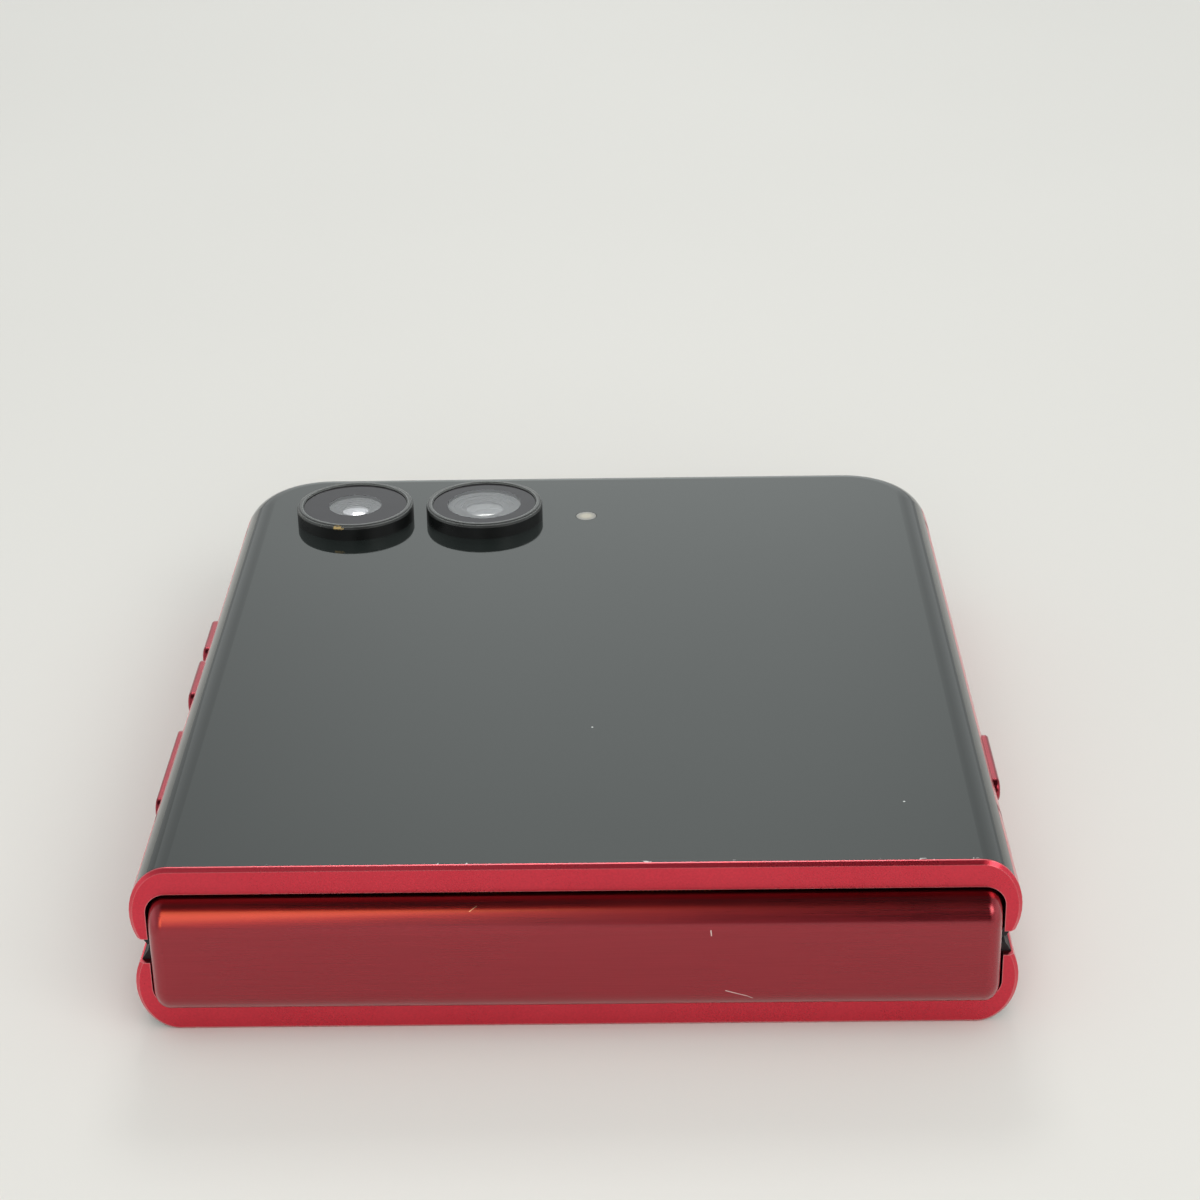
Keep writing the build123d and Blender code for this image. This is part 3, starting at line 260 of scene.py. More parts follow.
def dyed_aluminium(name, deep, bright, edge, grain, rough, depth, stretch=(1, 1, 1),
                   dull="#F4F4F4", seal=0.5):
    """Dyed aluminium with a blasted grain, or a brushed one where stretch draws it out, and a pale line
    on its edges that is partly polish and partly painted highlight.
    """
    made, tree, into, where = finish(name, {
        "Metallic": 1.0, "Roughness": rough, "Coat Weight": seal, "Coat Roughness": 0.16,
        "Coat IOR": 1.5})
    dye = patches(tree, where, 0.006, 0.0, 1.0, stretch=stretch)
    fine = patches(tree, where, grain, 0.0, 1.0, detail=4.0, stretch=stretch)
    body = add(tree, "Mix", {0: dye, 6: linear(deep), 7: linear(bright)}, 2, data_type="RGBA")
    grained = add(tree, "Mix", {0: fine, 6: linear(dull), 7: linear("#FFFFFF")}, 2,
                  data_type="RGBA")
    body = add(tree, "Mix", {0: 1.0, 6: body, 7: grained}, 2, data_type="RGBA",
               blend_type="MULTIPLY")
    rim = edge_line(tree, radius=0.00016, low=0.80, high=0.985)
    # Edges get a pale polished line, far stronger at the hinge end than along the sides. The extra
    # paleness at the hinge end is a painted highlight.
    along_y = add(tree, "SeparateXYZ", {0: where}, "Y")
    edge_polish_and_highlight = add(tree, "MapRange", {0: along_y, 1: -0.0365, 2: -0.0395, 3: 0.12, 4: 0.55})
    edge_polish_and_highlight = add(tree, "Math", {0: rim, 1: edge_polish_and_highlight}, operation="MULTIPLY")
    body = add(tree, "Mix", {0: edge_polish_and_highlight, 6: body, 7: linear(edge)}, 2, data_type="RGBA")
    knocks = patches(tree, where, 0.0011, 0.0, 1.0, detail=6.0)
    knocked = add(tree, "MapRange", {0: knocks, 1: 0.93, 2: 0.99, 3: 0.0, 4: 1.0})
    bare = add(tree, "Math", {0: knocked, 1: rim}, operation="MULTIPLY")
    add(tree, "Mix", {0: bare, 6: body, 7: linear("#CFC9C6")}, 2, into["Base Color"],
        data_type="RGBA")
    smear = patches(tree, where, 0.012, rough - 0.03, rough + 0.05, detail=4.0)
    add(tree, "Math", {0: fine, 1: 0.05, 2: smear}, 0, into["Roughness"], operation="MULTIPLY_ADD")
    add(tree, "Bump", {"Distance": depth, "Height": fine}, to=into["Normal"])
    return made, tree, into, where


frame_metal, *_ = dyed_aluminium("blasted_dyed_aluminium", "#D93346", "#DF394B", "#F6BBBE",
                                 0.00016, 0.26, depth=1.4e-6, dull="#EEEEEE")
dress(frame_metal, "lower_frame", "upper_frame")
# The keys and the card tray are the frames' dyed aluminium, given a darker red as painted shade and a
# smoother polish.
key_metal_painted_shade, *_ = dyed_aluminium("polished_dyed_aluminium", "#9E2636", "#AA2E3E", "#DE8E96",
                               0.0001, 0.20, depth=1e-6)
dress(key_metal_painted_shade, "volume_up_key", "volume_down_key", "power_key", "assist_key", "sim_tray")


# ---- Hinge spine --------------------------------------------------------------------------------
# A drawn aluminium barrel, brushed end to end before it was dyed. The brushed lines draw the light into
# a band across them. Its red is set darker than the frames' to stand for the darker surroundings it
# mirrors, a painted shade. Handling left a few bare scratches.
def scratch(tree, where, start, end, width):
    """1 within this width of the straight line between two points in x and z, and 0 elsewhere."""
    start, end = np.array(start), np.array(end)
    along = end - start
    length = float(np.hypot(*along))
    turn = math.atan2(along[1], along[0])
    local = add(tree, "Mapping", {"Vector": where, "Location": [-start[0], 0.0, -start[1]]})
    local = add(tree, "Mapping", {"Vector": local, "Rotation": [0.0, turn, 0.0]})
    parts = add(tree, "SeparateXYZ", {0: local})
    off = add(tree, "Math", {0: parts.node.outputs["Z"]}, operation="ABSOLUTE")
    thin = add(tree, "MapRange", {0: off, 1: width, 2: width * 0.4, 3: 0.0, 4: 1.0})
    middle = add(tree, "Math", {0: parts, 1: length / 2}, operation="SUBTRACT")
    inside = add(tree, "Math", {0: add(tree, "Math", {0: middle}, operation="ABSOLUTE"),
                                1: length / 2}, operation="LESS_THAN")
    return add(tree, "Math", {0: thin, 1: inside}, operation="MULTIPLY")


# The deep and bright reds here are darker than the frames': painted shade.
spine_metal_painted_shade, tree, into, where = dyed_aluminium(
    "brushed_dyed_aluminium", "#9F2A35", "#A32C38", "#DC8A90", 0.00008, 0.25,
    stretch=(60, 1, 1), depth=5e-7, dull="#F2F2F2", seal=0.75)
into["Anisotropic"].default_value = 0.35
add(tree, "Tangent", to=into["Tangent"], direction_type="RADIAL", axis="X")
wear_and_painted_highlight = None
for start, end, width in (((0.0112, 0.01085), (0.01125, 0.0103), 0.00006),
                          ((0.0124, 0.0050), (0.0142, 0.0044), 0.00005),
                          ((0.0142, 0.0044), (0.0147, 0.0041), 0.00004),
                          ((-0.0086, 0.0124), (-0.0080, 0.0127), 0.000025)):
    line = scratch(tree, where, start, end, width)
    wear_and_painted_highlight = line if wear_and_painted_highlight is None else add(tree, "Math", {0: wear_and_painted_highlight, 1: line}, operation="MAXIMUM")
dyed = into["Base Color"].links[0].from_socket
add(tree, "Mix", {0: wear_and_painted_highlight, 6: dyed, 7: linear("#F1D9D6")}, 2, into["Base Color"],
    data_type="RGBA")
dress(spine_metal_painted_shade, "spine_cover")

# ---- Glass covers -----------------------------------------------------------------------------------
# Bent glass, chemically hardened, printed black on its inner face. It mirrors the room softly, looks
# a deep grey with a touch of green, and carries dust, faint finger marks and small white chips on
# its hinge edge.
cover, tree, into, where = finish("black_printed_glass", {"Roughness": 0.06, "IOR": 1.52})
ink = patches(tree, where, 0.05, 0.0, 1.0, detail=1.0)
body = add(tree, "Mix", {0: ink, 6: linear("#1D2221"), 7: linear("#212625")}, 2, data_type="RGBA")
upward = add(tree, "SeparateXYZ", {0: add(tree, "NewGeometry", out="Normal")}, "Z")
facing_up = add(tree, "MapRange", {0: add(tree, "Math", {0: upward}, operation="ABSOLUTE"),
                                   1: 0.97, 2: 0.99, 3: 0.0, 4: 1.0})
dust = add(tree, "Math", {0: specks(tree, where, 0.0135, 0.00024, 0.10), 1: facing_up},
           operation="MULTIPLY")
body = add(tree, "Mix", {0: dust, 6: body, 7: linear("#C9CCCA")}, 2, data_type="RGBA")
place = add(tree, "SeparateXYZ", {0: where})
along_y = place.node.outputs["Y"]
at_edge = add(tree, "MapRange", {0: along_y, 1: -0.04095, 2: -0.04112, 3: 0.0, 4: 1.0})
to_the_right = add(tree, "MapRange", {0: place, 1: 0.018, 2: 0.034, 3: 0.02, 4: 0.16})
nicks = patches(tree, where, 0.0007, 0.0, 1.0, detail=5.0)
chipped = add(tree, "Math", {0: nicks, 1: to_the_right}, operation="ADD")
chipped = add(tree, "Math", {0: chipped, 1: 0.93}, operation="GREATER_THAN")
chipped = add(tree, "Math", {0: chipped, 1: at_edge}, operation="MULTIPLY")
add(tree, "Mix", {0: chipped, 6: body, 7: linear("#D8D5D3")}, 2, into["Base Color"],
    data_type="RGBA")
marks = patches(tree, where, 0.017, 0.035, 0.075, detail=6.0)
rubbed = add(tree, "Math", {0: chipped, 1: 0.5}, operation="MULTIPLY")
add(tree, "Math", {0: marks, 1: rubbed}, 0, into["Roughness"], operation="ADD")
add(tree, "Bump", {"Distance": 3e-5, "Height": chipped}, to=into["Normal"])
dress(cover, "cover_glass", "back_cover")

# ---- Plastic rims, bands and rubber stops ------------------------------------------------------------
# Black moulded rims round the inner screen. A fine spark-eroded grain keeps them matt.
rim, tree, into, where = finish("moulded_black_rim", {"Roughness": 0.55, "IOR": 1.49})
tone = patches(tree, where, 0.004, 0.0, 1.0)
add(tree, "Mix", {0: tone, 6: linear("#131314"), 7: linear("#1B1B1D")}, 2, into["Base Color"],
    data_type="RGBA")
grain = patches(tree, where, 0.00012, 0.0, 1.0, detail=2.0)
add(tree, "MapRange", {0: grain, 1: 0.0, 2: 1.0, 3: 0.46, 4: 0.62}, 0, into["Roughness"])
add(tree, "Bump", {"Distance": 6e-6, "Height": grain}, to=into["Normal"])
dress(rim, "lower_bezel", "upper_bezel")

# Dyed nylon filled into slots of the frame, where the aerials are, and machined flush with it.
band, tree, into, where = finish("machined_nylon_band", {"Roughness": 0.42, "IOR": 1.53,
                                                         "Subsurface Weight": 0.05})
tone = patches(tree, where, 0.0012, 0.0, 1.0, stretch=(1, 6, 1))
add(tree, "Mix", {0: tone, 6: linear("#7E1F2C"), 7: linear("#8C2A36")}, 2, into["Base Color"],
    data_type="RGBA")
grain = patches(tree, where, 0.0001, 0.0, 1.0, stretch=(1, 8, 1))
add(tree, "Bump", {"Distance": 2e-6, "Height": grain}, to=into["Normal"])
dress(band, "lower_antenna_bands", "upper_antenna_bands")

# Soft silicone stops that keep the two halves apart. They are dull, dusty and a little polished.
stop, tree, into, where = finish("silicone_stop", {"Roughness": 0.7, "IOR": 1.41})
tone = patches(tree, where, 0.0006, 0.0, 1.0, detail=5.0)
add(tree, "Mix", {0: tone, 6: linear("#1A1A1A"), 7: linear("#2A2928")}, 2, into["Base Color"],
    data_type="RGBA")
add(tree, "MapRange", {0: tone, 3: 0.6, 4: 0.8}, 0, into["Roughness"])
add(tree, "Bump", {"Distance": 8e-6, "Height": tone}, to=into["Normal"])
dress(stop, "lower_bumpers", "upper_bumpers")

# ---- Camera rings -------------------------------------------------------------------------------
# Aluminium turned on a lathe and dyed black. Fine turning lines run round each ring, and the edges of
# its top are painted a pale grey, a painted highlight for its bright rim.
def middle_of(low, high):
    """The middle of a box, from its lowest and highest corners."""
    return tuple((a + b) / 2 for a, b in zip(low, high))


def from_centre(tree, where, centre):
    """How far a place is from the upright line through a centre, in metres."""
    flat = add(tree, "VectorMath", {0: where, 1: (1.0, 1.0, 0.0)}, operation="MULTIPLY")
    return add(tree, "VectorMath", {0: flat, 1: (centre[0], centre[1], 0.0)}, "Value",
               operation="DISTANCE")


def waves(tree, distance, pitch, clip=1.0):
    """A value that goes from 0 to 1 and back over each pitch in metres of a distance: the sine of
    its turns, cut off at clip above and below 0 and stretched over 0 to 1."""
    turns = add(tree, "Math", {0: distance, 1: 2 * math.pi / pitch}, operation="MULTIPLY")
    sine = add(tree, "Math", {0: turns}, operation="SINE")
    return add(tree, "MapRange", {0: sine, 1: -clip, 2: clip, 3: 0.0, 4: 1.0})


ring_centres = {"main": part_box("main_lens_ring"), "wide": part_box("wide_lens_ring")}
ring_centres = {kind: middle_of(*corners) for kind, corners in ring_centres.items()}
turning_pitch = 0.00009                        # the cut of each turn of the lathe
painted_glint_place, painted_glint_size, painted_glint_ragged = (-0.02575, 0.02492, 0.0171), 0.00045, 0.0003
painted_glint_squeeze = (1.0, 1.0, 2.0)                 # the painted glint is half as high as it is wide
for kind, centre in ring_centres.items():
    turned, tree, into, where = finish(f"turned_black_aluminium_{kind}",
                                       {"Roughness": 0.32, "IOR": 1.62})
    out_from = from_centre(tree, where, centre)
    height = add(tree, "SeparateXYZ", {0: where}, "Z")
    both_ways = add(tree, "Math", {0: out_from, 1: height}, operation="ADD")
    lines = waves(tree, both_ways, turning_pitch)
    tone = patches(tree, where, 0.002, 0.0, 1.0)
    body = add(tree, "Mix", {0: tone, 6: linear("#0C0D0D"), 7: linear("#121313")}, 2,
               data_type="RGBA")
    # The edges at the top of the ring are painted pale grey: a painted highlight.
    wear_and_painted_highlight = edge_line(tree, radius=0.00030, low=0.84, high=0.99)
    above = add(tree, "MapRange", {0: height, 1: 0.0160, 2: 0.0164})
    add(tree, "Mix", {0: add(tree, "Math", {0: wear_and_painted_highlight, 1: above}, operation="MULTIPLY"), 6: body,
                      7: linear("#A2A6A4")}, 2, into["Base Color"], data_type="RGBA")
    if kind == "main":       # one gold metallic spot on the front of the rim: a painted glint
        squeezed = add(tree, "Mapping", {"Vector": where, "Scale": painted_glint_squeeze})
        painted_glint_centre = [a * b for a, b in zip(painted_glint_place, painted_glint_squeeze)]
        away = add(tree, "VectorMath", {0: squeezed, 1: painted_glint_centre}, "Value", operation="DISTANCE")
        reach = patches(tree, where, 0.0002, painted_glint_size - painted_glint_ragged, painted_glint_size + painted_glint_ragged)
        painted_glint = add(tree, "Math", {0: away, 1: reach}, operation="LESS_THAN", to=into["Metallic"])
        black = into["Base Color"].links[0].from_socket
        add(tree, "Mix", {0: painted_glint, 6: black, 7: linear("#E9C98B")}, 2, into["Base Color"],
            data_type="RGBA")
    add(tree, "MapRange", {0: patches(tree, where, 0.003, 0.0, 1.0), 3: 0.24, 4: 0.38}, 0,
        into["Roughness"])
    add(tree, "Bump", {"Distance": 1.5e-6, "Height": lines}, to=into["Normal"])
    dress(turned, f"{kind}_lens_ring")

# ---- Camera windows -------------------------------------------------------------------------------
# A flat glass disc in each ring, printed matt black behind except for the clear opening in front of
# the lens. The opening is clean glass with a coating that tints its gloss slightly violet.
openings = {"main": 0.0028, "wide": 0.0039}    # radius of the clear opening
for kind, centre in ring_centres.items():
    window, tree, into, where = finish(f"coated_window_glass_{kind}", {
        "Roughness": 0.02, "IOR": 1.5, "Specular IOR Level": 0.22,
        "Specular Tint": linear("#E9E4F2")})
    clear = add(tree, "Math", {0: from_centre(tree, where, centre), 1: openings[kind]},
                operation="LESS_THAN", to=into["Transmission Weight"])
    print_tone = patches(tree, where, 0.0015, 0.0, 1.0)
    print_ink = add(tree, "Mix", {0: print_tone, 6: linear("#292629"), 7: linear("#2E2B2E")}, 2,
                    data_type="RGBA")
    add(tree, "Mix", {0: clear, 6: print_ink, 7: linear("#FFFFFF")}, 2, into["Base Color"],
        data_type="RGBA")
    patches(tree, where, 0.004, 0.015, 0.05, detail=5.0, to=into["Roughness"])
    dress(window, f"{kind}_lens_glass")

# ---- Cameras ----------------------------------------------------------------------------------------
# Black moulded barrels over square modules, with a stepped baffle that swallows stray light and a domed
# front lens with a violet coating, which on the main lens is painted pale as a painted reflection.
barrel, tree, into, where = finish("moulded_camera_barrel", {"Roughness": 0.5, "IOR": 1.5})
tone = patches(tree, where, 0.0015, 0.0, 1.0)
add(tree, "Mix", {0: tone, 6: linear("#151516"), 7: linear("#1F1F21")}, 2, into["Base Color"],
    data_type="RGBA")
add(tree, "MapRange", {0: tone, 3: 0.42, 4: 0.58}, 0, into["Roughness"])
grain = patches(tree, where, 0.00008, 0.0, 1.0)
add(tree, "Bump", {"Distance": 4e-6, "Height": grain}, to=into["Normal"])
dress(barrel, "main_camera", "wide_camera", "front_camera")


def turned_piece(name, centre, profile, around, material, sharp=30):
    """A piece turned on an upright line: each (radius, height) of the profile is carried round, so
    that x is the centre's x plus radius times cosine, and y the centre's y plus radius times sine."""
    radius, height = np.array(profile, float).T
    angle = np.linspace(0, 2 * np.pi, around + 1)[:-1]
    points = np.stack([centre[0] + radius[:, None] * np.cos(angle),
                       centre[1] + radius[:, None] * np.sin(angle),
                       np.repeat(height[:, None], around, axis=1)], -1)
    return sheet_of_points(name, points, material, sharp=sharp)


# Each baffle is a stair of rings down the cone of the barrel, moulded in matt black.
baffle, tree, into, where = finish("matt_baffle", {"Roughness": 0.6, "IOR": 1.5,
                                                  "Specular IOR Level": 0.2})
tone = patches(tree, where, 0.0008, 0.0, 1.0)
add(tree, "Mix", {0: tone, 6: linear("#1E1E1F"), 7: linear("#262627")}, 2, into["Base Color"],
    data_type="RGBA")
add(tree, "MapRange", {0: tone, 3: 0.5, 4: 0.7}, 0, into["Roughness"])
grain = patches(tree, where, 0.00006, 0.0, 1.0)
add(tree, "Bump", {"Distance": 3e-6, "Height": grain}, to=into["Normal"])

# Each front lens is ground glass over dark optics with a violet coating. The main lens is given a pale
# colour, part metal and part matt, so that it always looks milky white: a painted reflection of the
# bright room.
lens_coats = {}
for kind, shine, deep, pale in (("main", 0.42, "#D9D6E2", "#E2E0E6"),
                                ("wide", 0.12, "#45434A", "#504E55")):
    lens, tree, into, where = finish(f"coated_front_lens_{kind}", {
        "Metallic": shine, "Roughness": 0.03, "IOR": 1.75})
    coat = patches(tree, where, 0.0025, 0.0, 1.0)
    add(tree, "Mix", {0: coat, 6: linear(deep), 7: linear(pale)}, 2, into["Base Color"],
        data_type="RGBA")
    add(tree, "MapRange", {0: coat, 3: 0.05, 4: 0.10}, 0, into["Roughness"])
    lens_coats[kind] = lens

# A stair starts just inside its window's clear opening and ends round the lens, which takes up half
# of that opening.
steps, stair_top, stair_drop, stair_wall = 3, 0.0164, 0.00029, 0.00003
lens_share, lens_crown, lens_rise, lens_edge = 0.5, 0.01626, 0.00016, 0.00003
rim_play, hole_play, lens_play = 0.00006, 0.00004, 0.00003
for kind, centre in ring_centres.items():
    wide, narrow = openings[kind] - rim_play, openings[kind] * lens_share + hole_play
    share = np.repeat(np.arange(steps + 1) / steps, 2)
    outward = wide + (narrow - wide) * share[1:]
    downward = stair_top - stair_drop * share[:-1]
    stair = np.stack([outward, downward], -1)
    back = stair[::-1] + [stair_wall, -stair_wall]
    profile = np.vstack([stair, back, stair[:1]])
    made = turned_piece(f"{kind}_baffle", centre, profile, 96, baffle, sharp=25)
    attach(made, "upper_half")
    # The dome is part of a ball that rises by lens_rise over the lens's radius.
    lens_radius = openings[kind] * lens_share - lens_play
    ball = (lens_radius ** 2 + lens_rise ** 2) / (2 * lens_rise)
    outward = np.linspace(0, 1, 20) * lens_radius
    dome = np.stack([outward, lens_crown - (ball - np.sqrt(ball ** 2 - outward ** 2))], -1)
    profile = np.vstack([dome - [0.0, lens_edge], dome[::-1]])
    made = turned_piece(f"{kind}_front_lens", centre, profile, 64, lens_coats[kind])
    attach(made, "upper_half")

# ---- Flash ------------------------------------------------------------------------------------------
# A moulded clear window over a yellow phosphor, ground with rings so thin that it looks milky.
flash, tree, into, where = finish("milky_flash_window", {
    "Roughness": 0.35, "IOR": 1.49, "Subsurface Weight": 0.2, "Subsurface Radius": (0.4, 0.35, 0.3),
    "Subsurface Scale": 0.001})
low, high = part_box("flash_window")
out_from = from_centre(tree, where, middle_of(low, high))
lines = waves(tree, out_from, pitch=0.0002)
middle = add(tree, "MapRange", {0: out_from, 1: 0.0009, 2: 0.0004, 3: 0.0, 4: 1.0})
add(tree, "Mix", {0: middle, 6: linear("#8E8C86"), 7: linear("#B9B3A2")}, 2, into["Base Color"],
    data_type="RGBA")
add(tree, "MapRange", {0: patches(tree, where, 0.0006, 0.0, 1.0), 3: 0.3, 4: 0.45}, 0,
    into["Roughness"])
add(tree, "Bump", {"Distance": 1.2e-5, "Height": lines}, to=into["Normal"])
dress(flash, "flash_window")

# ---- Inner screen -----------------------------------------------------------------------------------
# A folding screen under ultra-thin glass and a soft protective film. It is off: black with a blue
# sheen, a little rippled, with the film slightly hazed along the fold.
screen, tree, into, where = finish("folding_screen_film", {
    "Roughness": 0.07, "IOR": 1.5, "Coat Weight": 0.5, "Coat Roughness": 0.08, "Coat IOR": 1.45})
tone = patches(tree, where, 0.03, 0.0, 1.0, detail=1.0)
add(tree, "Mix", {0: tone, 6: linear("#08090C"), 7: linear("#0C0E12")}, 2, into["Base Color"],
    data_type="RGBA")
haze = add(tree, "MapRange", {0: add(tree, "SeparateXYZ", {0: where}, "Y"), 1: -0.036, 2: -0.040,
                              3: 0.0, 4: 0.07})
marks = patches(tree, where, 0.012, 0.04, 0.11, detail=5.0)
add(tree, "Math", {0: marks, 1: haze}, 0, into["Roughness"], operation="ADD")
ripples = patches(tree, where, 0.009, 0.0, 1.0, detail=0.0, stretch=(3, 1, 1))
add(tree, "Bump", {"Distance": 6e-6, "Height": ripples}, to=into["Normal"])
dress(screen, "display_lower", "display_upper")

# The folded part is one sheet in two pieces. Each is drawn flat, as it lies when the phone is open,
# and then turned about its fold axis by the share of a quarter turn that the blend gives each point.
# Places are in y and z, and mid_height is where the two halves mirror each other.
halves = (("lower", ("lower_half", "spine")), ("upper", ("spine", "upper_half")))
pivot = np.array([-0.04075, 0.00685])          # the lower fold axis
mid_height = 0.00785
screen_top, screen_under, screen_edge, screen_half = 0.0069, 0.00655, -0.0372, 0.034
blend_start, blend_end = np.array([-0.0384, 0.0060]), np.array([-0.0410, 0.00785])
half_fold = 0.00455                            # length of sheet from its flat part to the spine


def folded(flat):
    """Where points of the open, flat sheet lie when the phone is closed. A point turns back about
    the axis by w quarter turns, where w is the smooth step of its closed place along the line from
    blend_start to blend_end, so w is found by halving the range from 0 to 1."""
    arm = flat - pivot
    line = blend_end - blend_start
    low, high = np.zeros(len(flat)), np.ones(len(flat))
    for _ in range(40):                        # enough halvings for an exact w
        w = (low + high) / 2
        turn = -w * np.pi / 2
        cos, sin = np.cos(turn), np.sin(turn)
        closed = pivot + np.stack([arm[:, 0] * cos - arm[:, 1] * sin,
                                   arm[:, 0] * sin + arm[:, 1] * cos], -1)
        t = np.clip((closed - blend_start) @ line / (line @ line), 0, 1)
        far = w > t * t * (3 - 2 * t)
        high, low = np.where(far, w, high), np.where(far, low, w)
    return closed


def across_hinge(name, rings, half, material):
    """A strip across the hinge from its rings of points in the lower half, which the upper half
    mirrors about mid_height. A point in the middle of each end closes it."""
    if half == "upper":
        rings = (rings * [1, 1, -1] + [0, 0, 2 * mid_height])[:, ::-1]
    cap = rings[[0, -1]].mean(axis=1, keepdims=True).repeat(rings.shape[1], axis=1)
    return sheet_of_points(name, np.concatenate([cap[:1], rings, cap[1:]]), material, sharp=40)


def blend_places(half, start, end):
    """The points where a blend starts and ends, from their places in the lower half. In the upper
    half it runs from the spine outwards, so the mirrored places change over."""
    if half == "upper":
        start, end = ((y, 2 * mid_height - z) for y, z in (end, start))
    return (0.0, *start), (0.0, *end)


along = np.linspace(0, half_fold, 48)
left_to_right = np.linspace(-1, 1, 9)
across = np.concatenate([left_to_right, -left_to_right])
under = np.repeat([0, 1], len(left_to_right))
flat = np.stack([np.repeat(screen_edge - along, len(across)),
                 np.tile(screen_top - under * (screen_top - screen_under), len(along))], -1)
rings = np.column_stack([np.tile(across * screen_half, len(along)), folded(flat)])
rings = rings.reshape(len(along), len(across), 3)[:, ::-1]
for half, bodies in halves:
    made = across_hinge(f"display_fold_{half}", rings, half, screen)
    start, end = blend_places(half, blend_start, blend_end)
    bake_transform(made)
    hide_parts("display_fold")

# ---- Flex cables across the hinge --------------------------------------------------------------------
# Amber polyimide ribbons with copper lines inside them, one on each side of the hinge's middle.
ribbon, tree, into, where = finish("polyimide_ribbon", {"Roughness": 0.35, "IOR": 1.6})
lines = waves(tree, add(tree, "SeparateXYZ", {0: where}), pitch=0.0004, clip=0.2)
add(tree, "Mix", {0: lines, 6: linear("#6B3A12"), 7: linear("#B06A2A")}, 2, into["Base Color"],
    data_type="RGBA")
add(tree, "MapRange", {0: patches(tree, where, 0.002, 0.0, 1.0), 3: 0.28, 4: 0.42}, 0,
    into["Roughness"])
add(tree, "Bump", {"Distance": 8e-6, "Height": lines}, to=into["Normal"])

# Each runs straight along its half, bends up inside the spine and rises to mid_height. Places are in
# y and z.
ribbon_near, ribbon_apex, ribbon_low = -0.03434, -0.0431, 0.00485
ribbon_bend, ribbon_thick, ribbon_half = 0.0018, 0.00015, 0.0035
ribbon_aside = 0.008                           # from the hinge's middle to the ribbon's
ribbon_blend = (-0.0375, ribbon_low), (ribbon_apex, 0.0065)
arc = np.linspace(0, np.pi / 2, 16)
bend_centre = np.array([ribbon_apex + ribbon_bend, ribbon_low + ribbon_bend])
faces = []
for thickness in (0.0, ribbon_thick):
    along = np.linspace(ribbon_near, bend_centre[0], 24)
    straight = np.stack([along, np.full_like(along, ribbon_low + thickness)], -1)
    bend = bend_centre - (ribbon_bend - thickness) * np.stack([np.sin(arc), np.cos(arc)], -1)
    upward = np.linspace(bend_centre[1], mid_height, 4)
    rise = np.stack([np.full_like(upward, ribbon_apex + thickness), upward], -1)
    faces.append(np.concatenate([straight, bend[1:], rise[1:]]))
ends = np.stack([faces[0], faces[0], faces[1], faces[1]], 1)
for half, bodies in halves:
    for side, word in ((-1, "left"), (1, "right")):
        across = side * ribbon_aside + ribbon_half * np.array([-1, 1, 1, -1])
        rings = np.concatenate([np.tile(across[:, None], (len(ends), 1, 1)), ends], -1)
        made = across_hinge(f"hinge_flex_{half}_{word}", rings, half, ribbon)
        start, end = blend_places(half, *ribbon_blend)
        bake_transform(made)
        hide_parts("hinge_flex_cables")


# ---- Steel and springs of the hinge ----------------------------------------------------------------
# Sintered stainless gears, arms and brackets, ground where they run and grey where they don't, with
# a film of clear grease.
def plain_metal(name, dark, light, rough, grain, depth, stretch=(1, 1, 1)):
    """A bare metal whose grain, tone and shine drift in patches."""
    made, tree, into, where = finish(name, {"Metallic": 1.0, "Roughness": rough})
    tone = patches(tree, where, grain * 12, 0.0, 1.0, detail=5.0, stretch=stretch)
    add(tree, "Mix", {0: tone, 6: linear(dark), 7: linear(light)}, 2, into["Base Color"],
        data_type="RGBA")
    add(tree, "MapRange", {0: tone, 3: rough + 0.07, 4: rough - 0.07}, 0, into["Roughness"])
    fine = patches(tree, where, grain, 0.0, 1.0, stretch=stretch)
    add(tree, "Bump", {"Distance": depth, "Height": fine}, to=into["Normal"])
    return made


hinge_steel = plain_metal("sintered_stainless", "#7F7E7C", "#A5A3A0", 0.33, 0.00012, 3e-6)
dress(hinge_steel, "lower_hinge_brackets", "upper_hinge_brackets", "hinge_housings",
      "gear_shafts", "lower_sync_arms", "upper_sync_arms", "lower_idler_gears",
      "upper_idler_gears", "lower_screws", "upper_screws", "spine_screws")
# Rolled spring strip, with lines along the roll, under the screen and in the friction springs.
spring_steel = plain_metal("rolled_spring_strip", "#8B8D8F", "#B4B6B8", 0.26, 0.0001, 2e-6,
                           (40, 1, 1))
dress(spring_steel, "lower_wing", "upper_wing", "friction_springs", "lower_display_plate",
      "upper_display_plate")
# Stamped tin-plated cans over the port, the card socket and the buzzer.
can = plain_metal("stamped_tin_plate", "#A2A09A", "#C6C4BE", 0.28, 0.00015, 3e-6, (1, 12, 1))
dress(can, "usb_c_receptacle", "sim_socket", "haptic_motor")
# Nickel-plated magnets, bright and slightly yellow.
magnet = plain_metal("nickel_plate", "#ABA79B", "#CFCABD", 0.18, 0.0002, 1e-6)
dress(magnet, "lower_magnets", "upper_magnets")

# ---- Batteries, boards and coil ----------------------------------------------------------------------
# Laminated foil pouches in a matt black wrap, slightly wrinkled.
pouch, tree, into, where = finish("battery_wrap", {"Roughness": 0.42, "IOR": 1.5})
creases = patches(tree, where, 0.004, 0.0, 1.0, detail=6.0, stretch=(1, 2, 1))
add(tree, "Mix", {0: creases, 6: linear("#1C1D1F"), 7: linear("#2B2C2F")}, 2,
    into["Base Color"], data_type="RGBA")
add(tree, "MapRange", {0: creases, 3: 0.36, 4: 0.5}, 0, into["Roughness"])
add(tree, "Bump", {"Distance": 4e-5, "Height": creases}, to=into["Normal"])
dress(pouch, "lower_battery", "upper_battery")

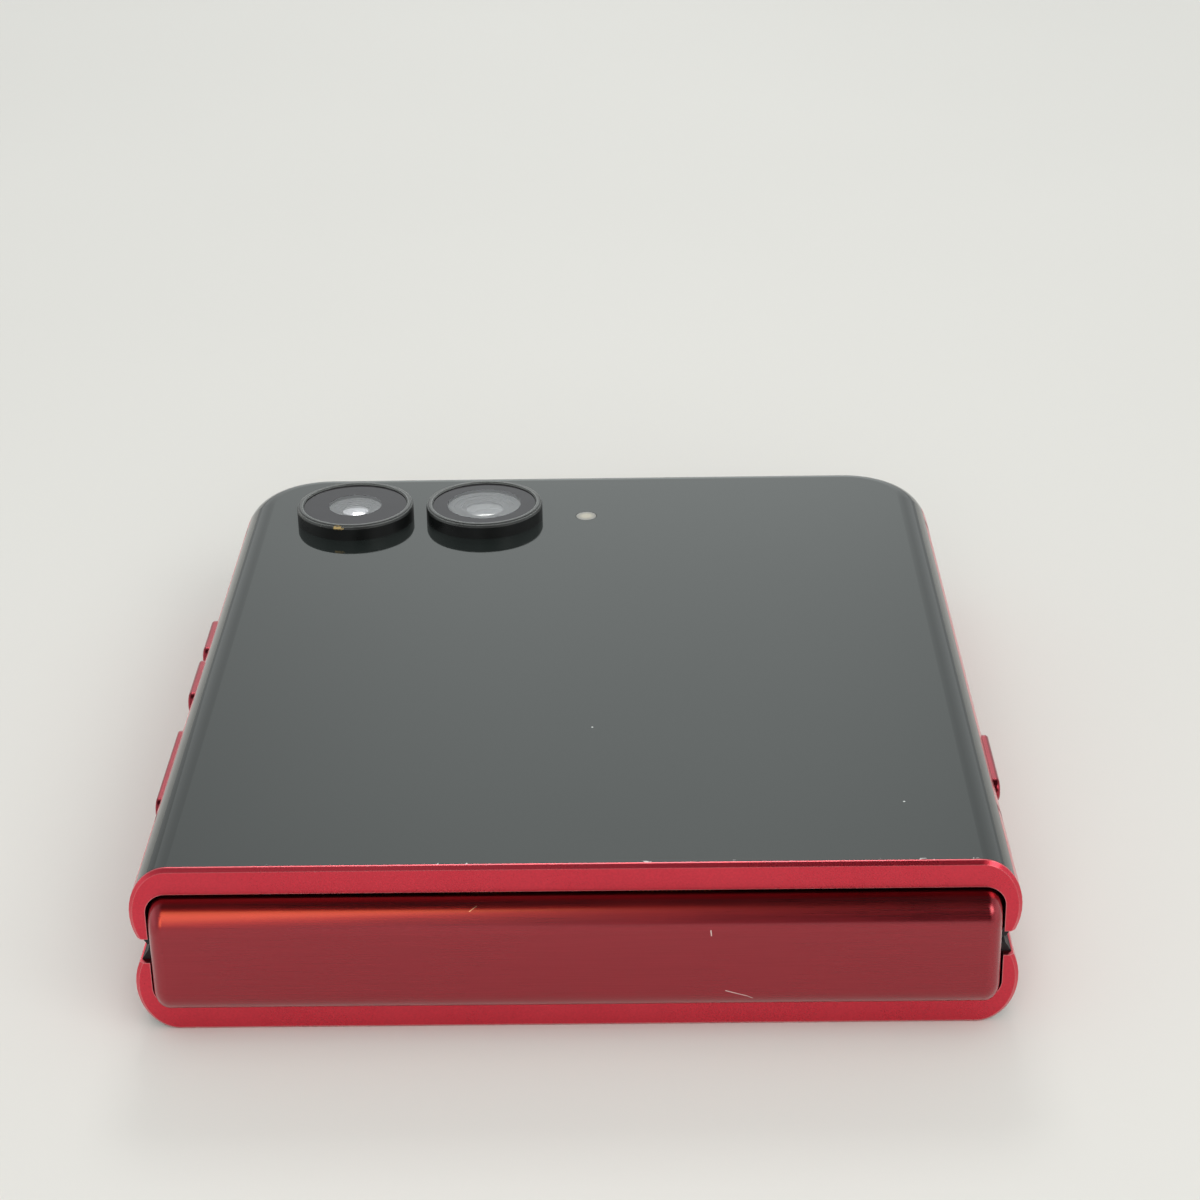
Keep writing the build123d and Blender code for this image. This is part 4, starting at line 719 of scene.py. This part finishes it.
# Glass-fibre boards under dark green lacquer, with copper lines that show as a faint relief.
board, tree, into, where = finish("lacquered_board", {"Roughness": 0.3, "IOR": 1.52})
tracks = add(tree, "TexBrick", {"Vector": where, "Scale": 900.0, "Mortar Size": 0.05,
                                "Color1": linear("#0F3324"), "Color2": linear("#123C2A"),
                                "Mortar": linear("#1E5A3F")}, to=into["Base Color"])
add(tree, "Bump", {"Distance": 1.5e-5, "Height": tracks.node.outputs[1]}, to=into["Normal"])
add(tree, "MapRange", {0: patches(tree, where, 0.002, 0.0, 1.0), 3: 0.25, 4: 0.4}, 0,
    into["Roughness"])
dress(board, "main_board", "sub_board")

# Enamelled copper wire wound flat round the coil's middle, one turn every third of a millimetre.
coil, tree, into, where = finish("enamelled_copper_winding", {"Metallic": 1.0, "Roughness": 0.28})
low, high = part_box("charging_coil")
out_from = from_centre(tree, where, middle_of(low, high))
wire = waves(tree, out_from, pitch=0.00033)
add(tree, "Mix", {0: wire, 6: linear("#5E2A12"), 7: linear("#C8713A")}, 2, into["Base Color"],
    data_type="RGBA")
add(tree, "MapRange", {0: patches(tree, where, 0.003, 0.0, 1.0), 3: 0.22, 4: 0.36}, 0,
    into["Roughness"])
add(tree, "Bump", {"Distance": 5e-5, "Height": wire}, to=into["Normal"])
dress(coil, "charging_coil")

# The outer screen's panel behind the cover glass, black when it is off.
panel, tree, into, where = finish("outer_screen_panel", {"Roughness": 0.2, "IOR": 1.5})
tone = patches(tree, where, 0.02, 0.0, 1.0)
add(tree, "Mix", {0: tone, 6: linear("#0A0B0E"), 7: linear("#101216")}, 2, into["Base Color"],
    data_type="RGBA")
add(tree, "MapRange", {0: tone, 3: 0.16, 4: 0.26}, 0, into["Roughness"])
grain = patches(tree, where, 0.0001, 0.0, 1.0)
add(tree, "Bump", {"Distance": 1e-6, "Height": grain}, to=into["Normal"])
dress(panel, "cover_display_panel")

# Black liquid-crystal plastic housings of the speaker, the earpiece and the key switches.
housing, tree, into, where = finish("moulded_black_housing", {"Roughness": 0.5, "IOR": 1.55})
tone = patches(tree, where, 0.002, 0.0, 1.0, detail=5.0)
add(tree, "Mix", {0: tone, 6: linear("#141415"), 7: linear("#202022")}, 2, into["Base Color"],
    data_type="RGBA")
add(tree, "MapRange", {0: tone, 3: 0.42, 4: 0.6}, 0, into["Roughness"])
grain = patches(tree, where, 0.0001, 0.0, 1.0)
add(tree, "Bump", {"Distance": 6e-6, "Height": grain}, to=into["Normal"])
dress(housing, "loudspeaker", "earpiece", "key_switches")
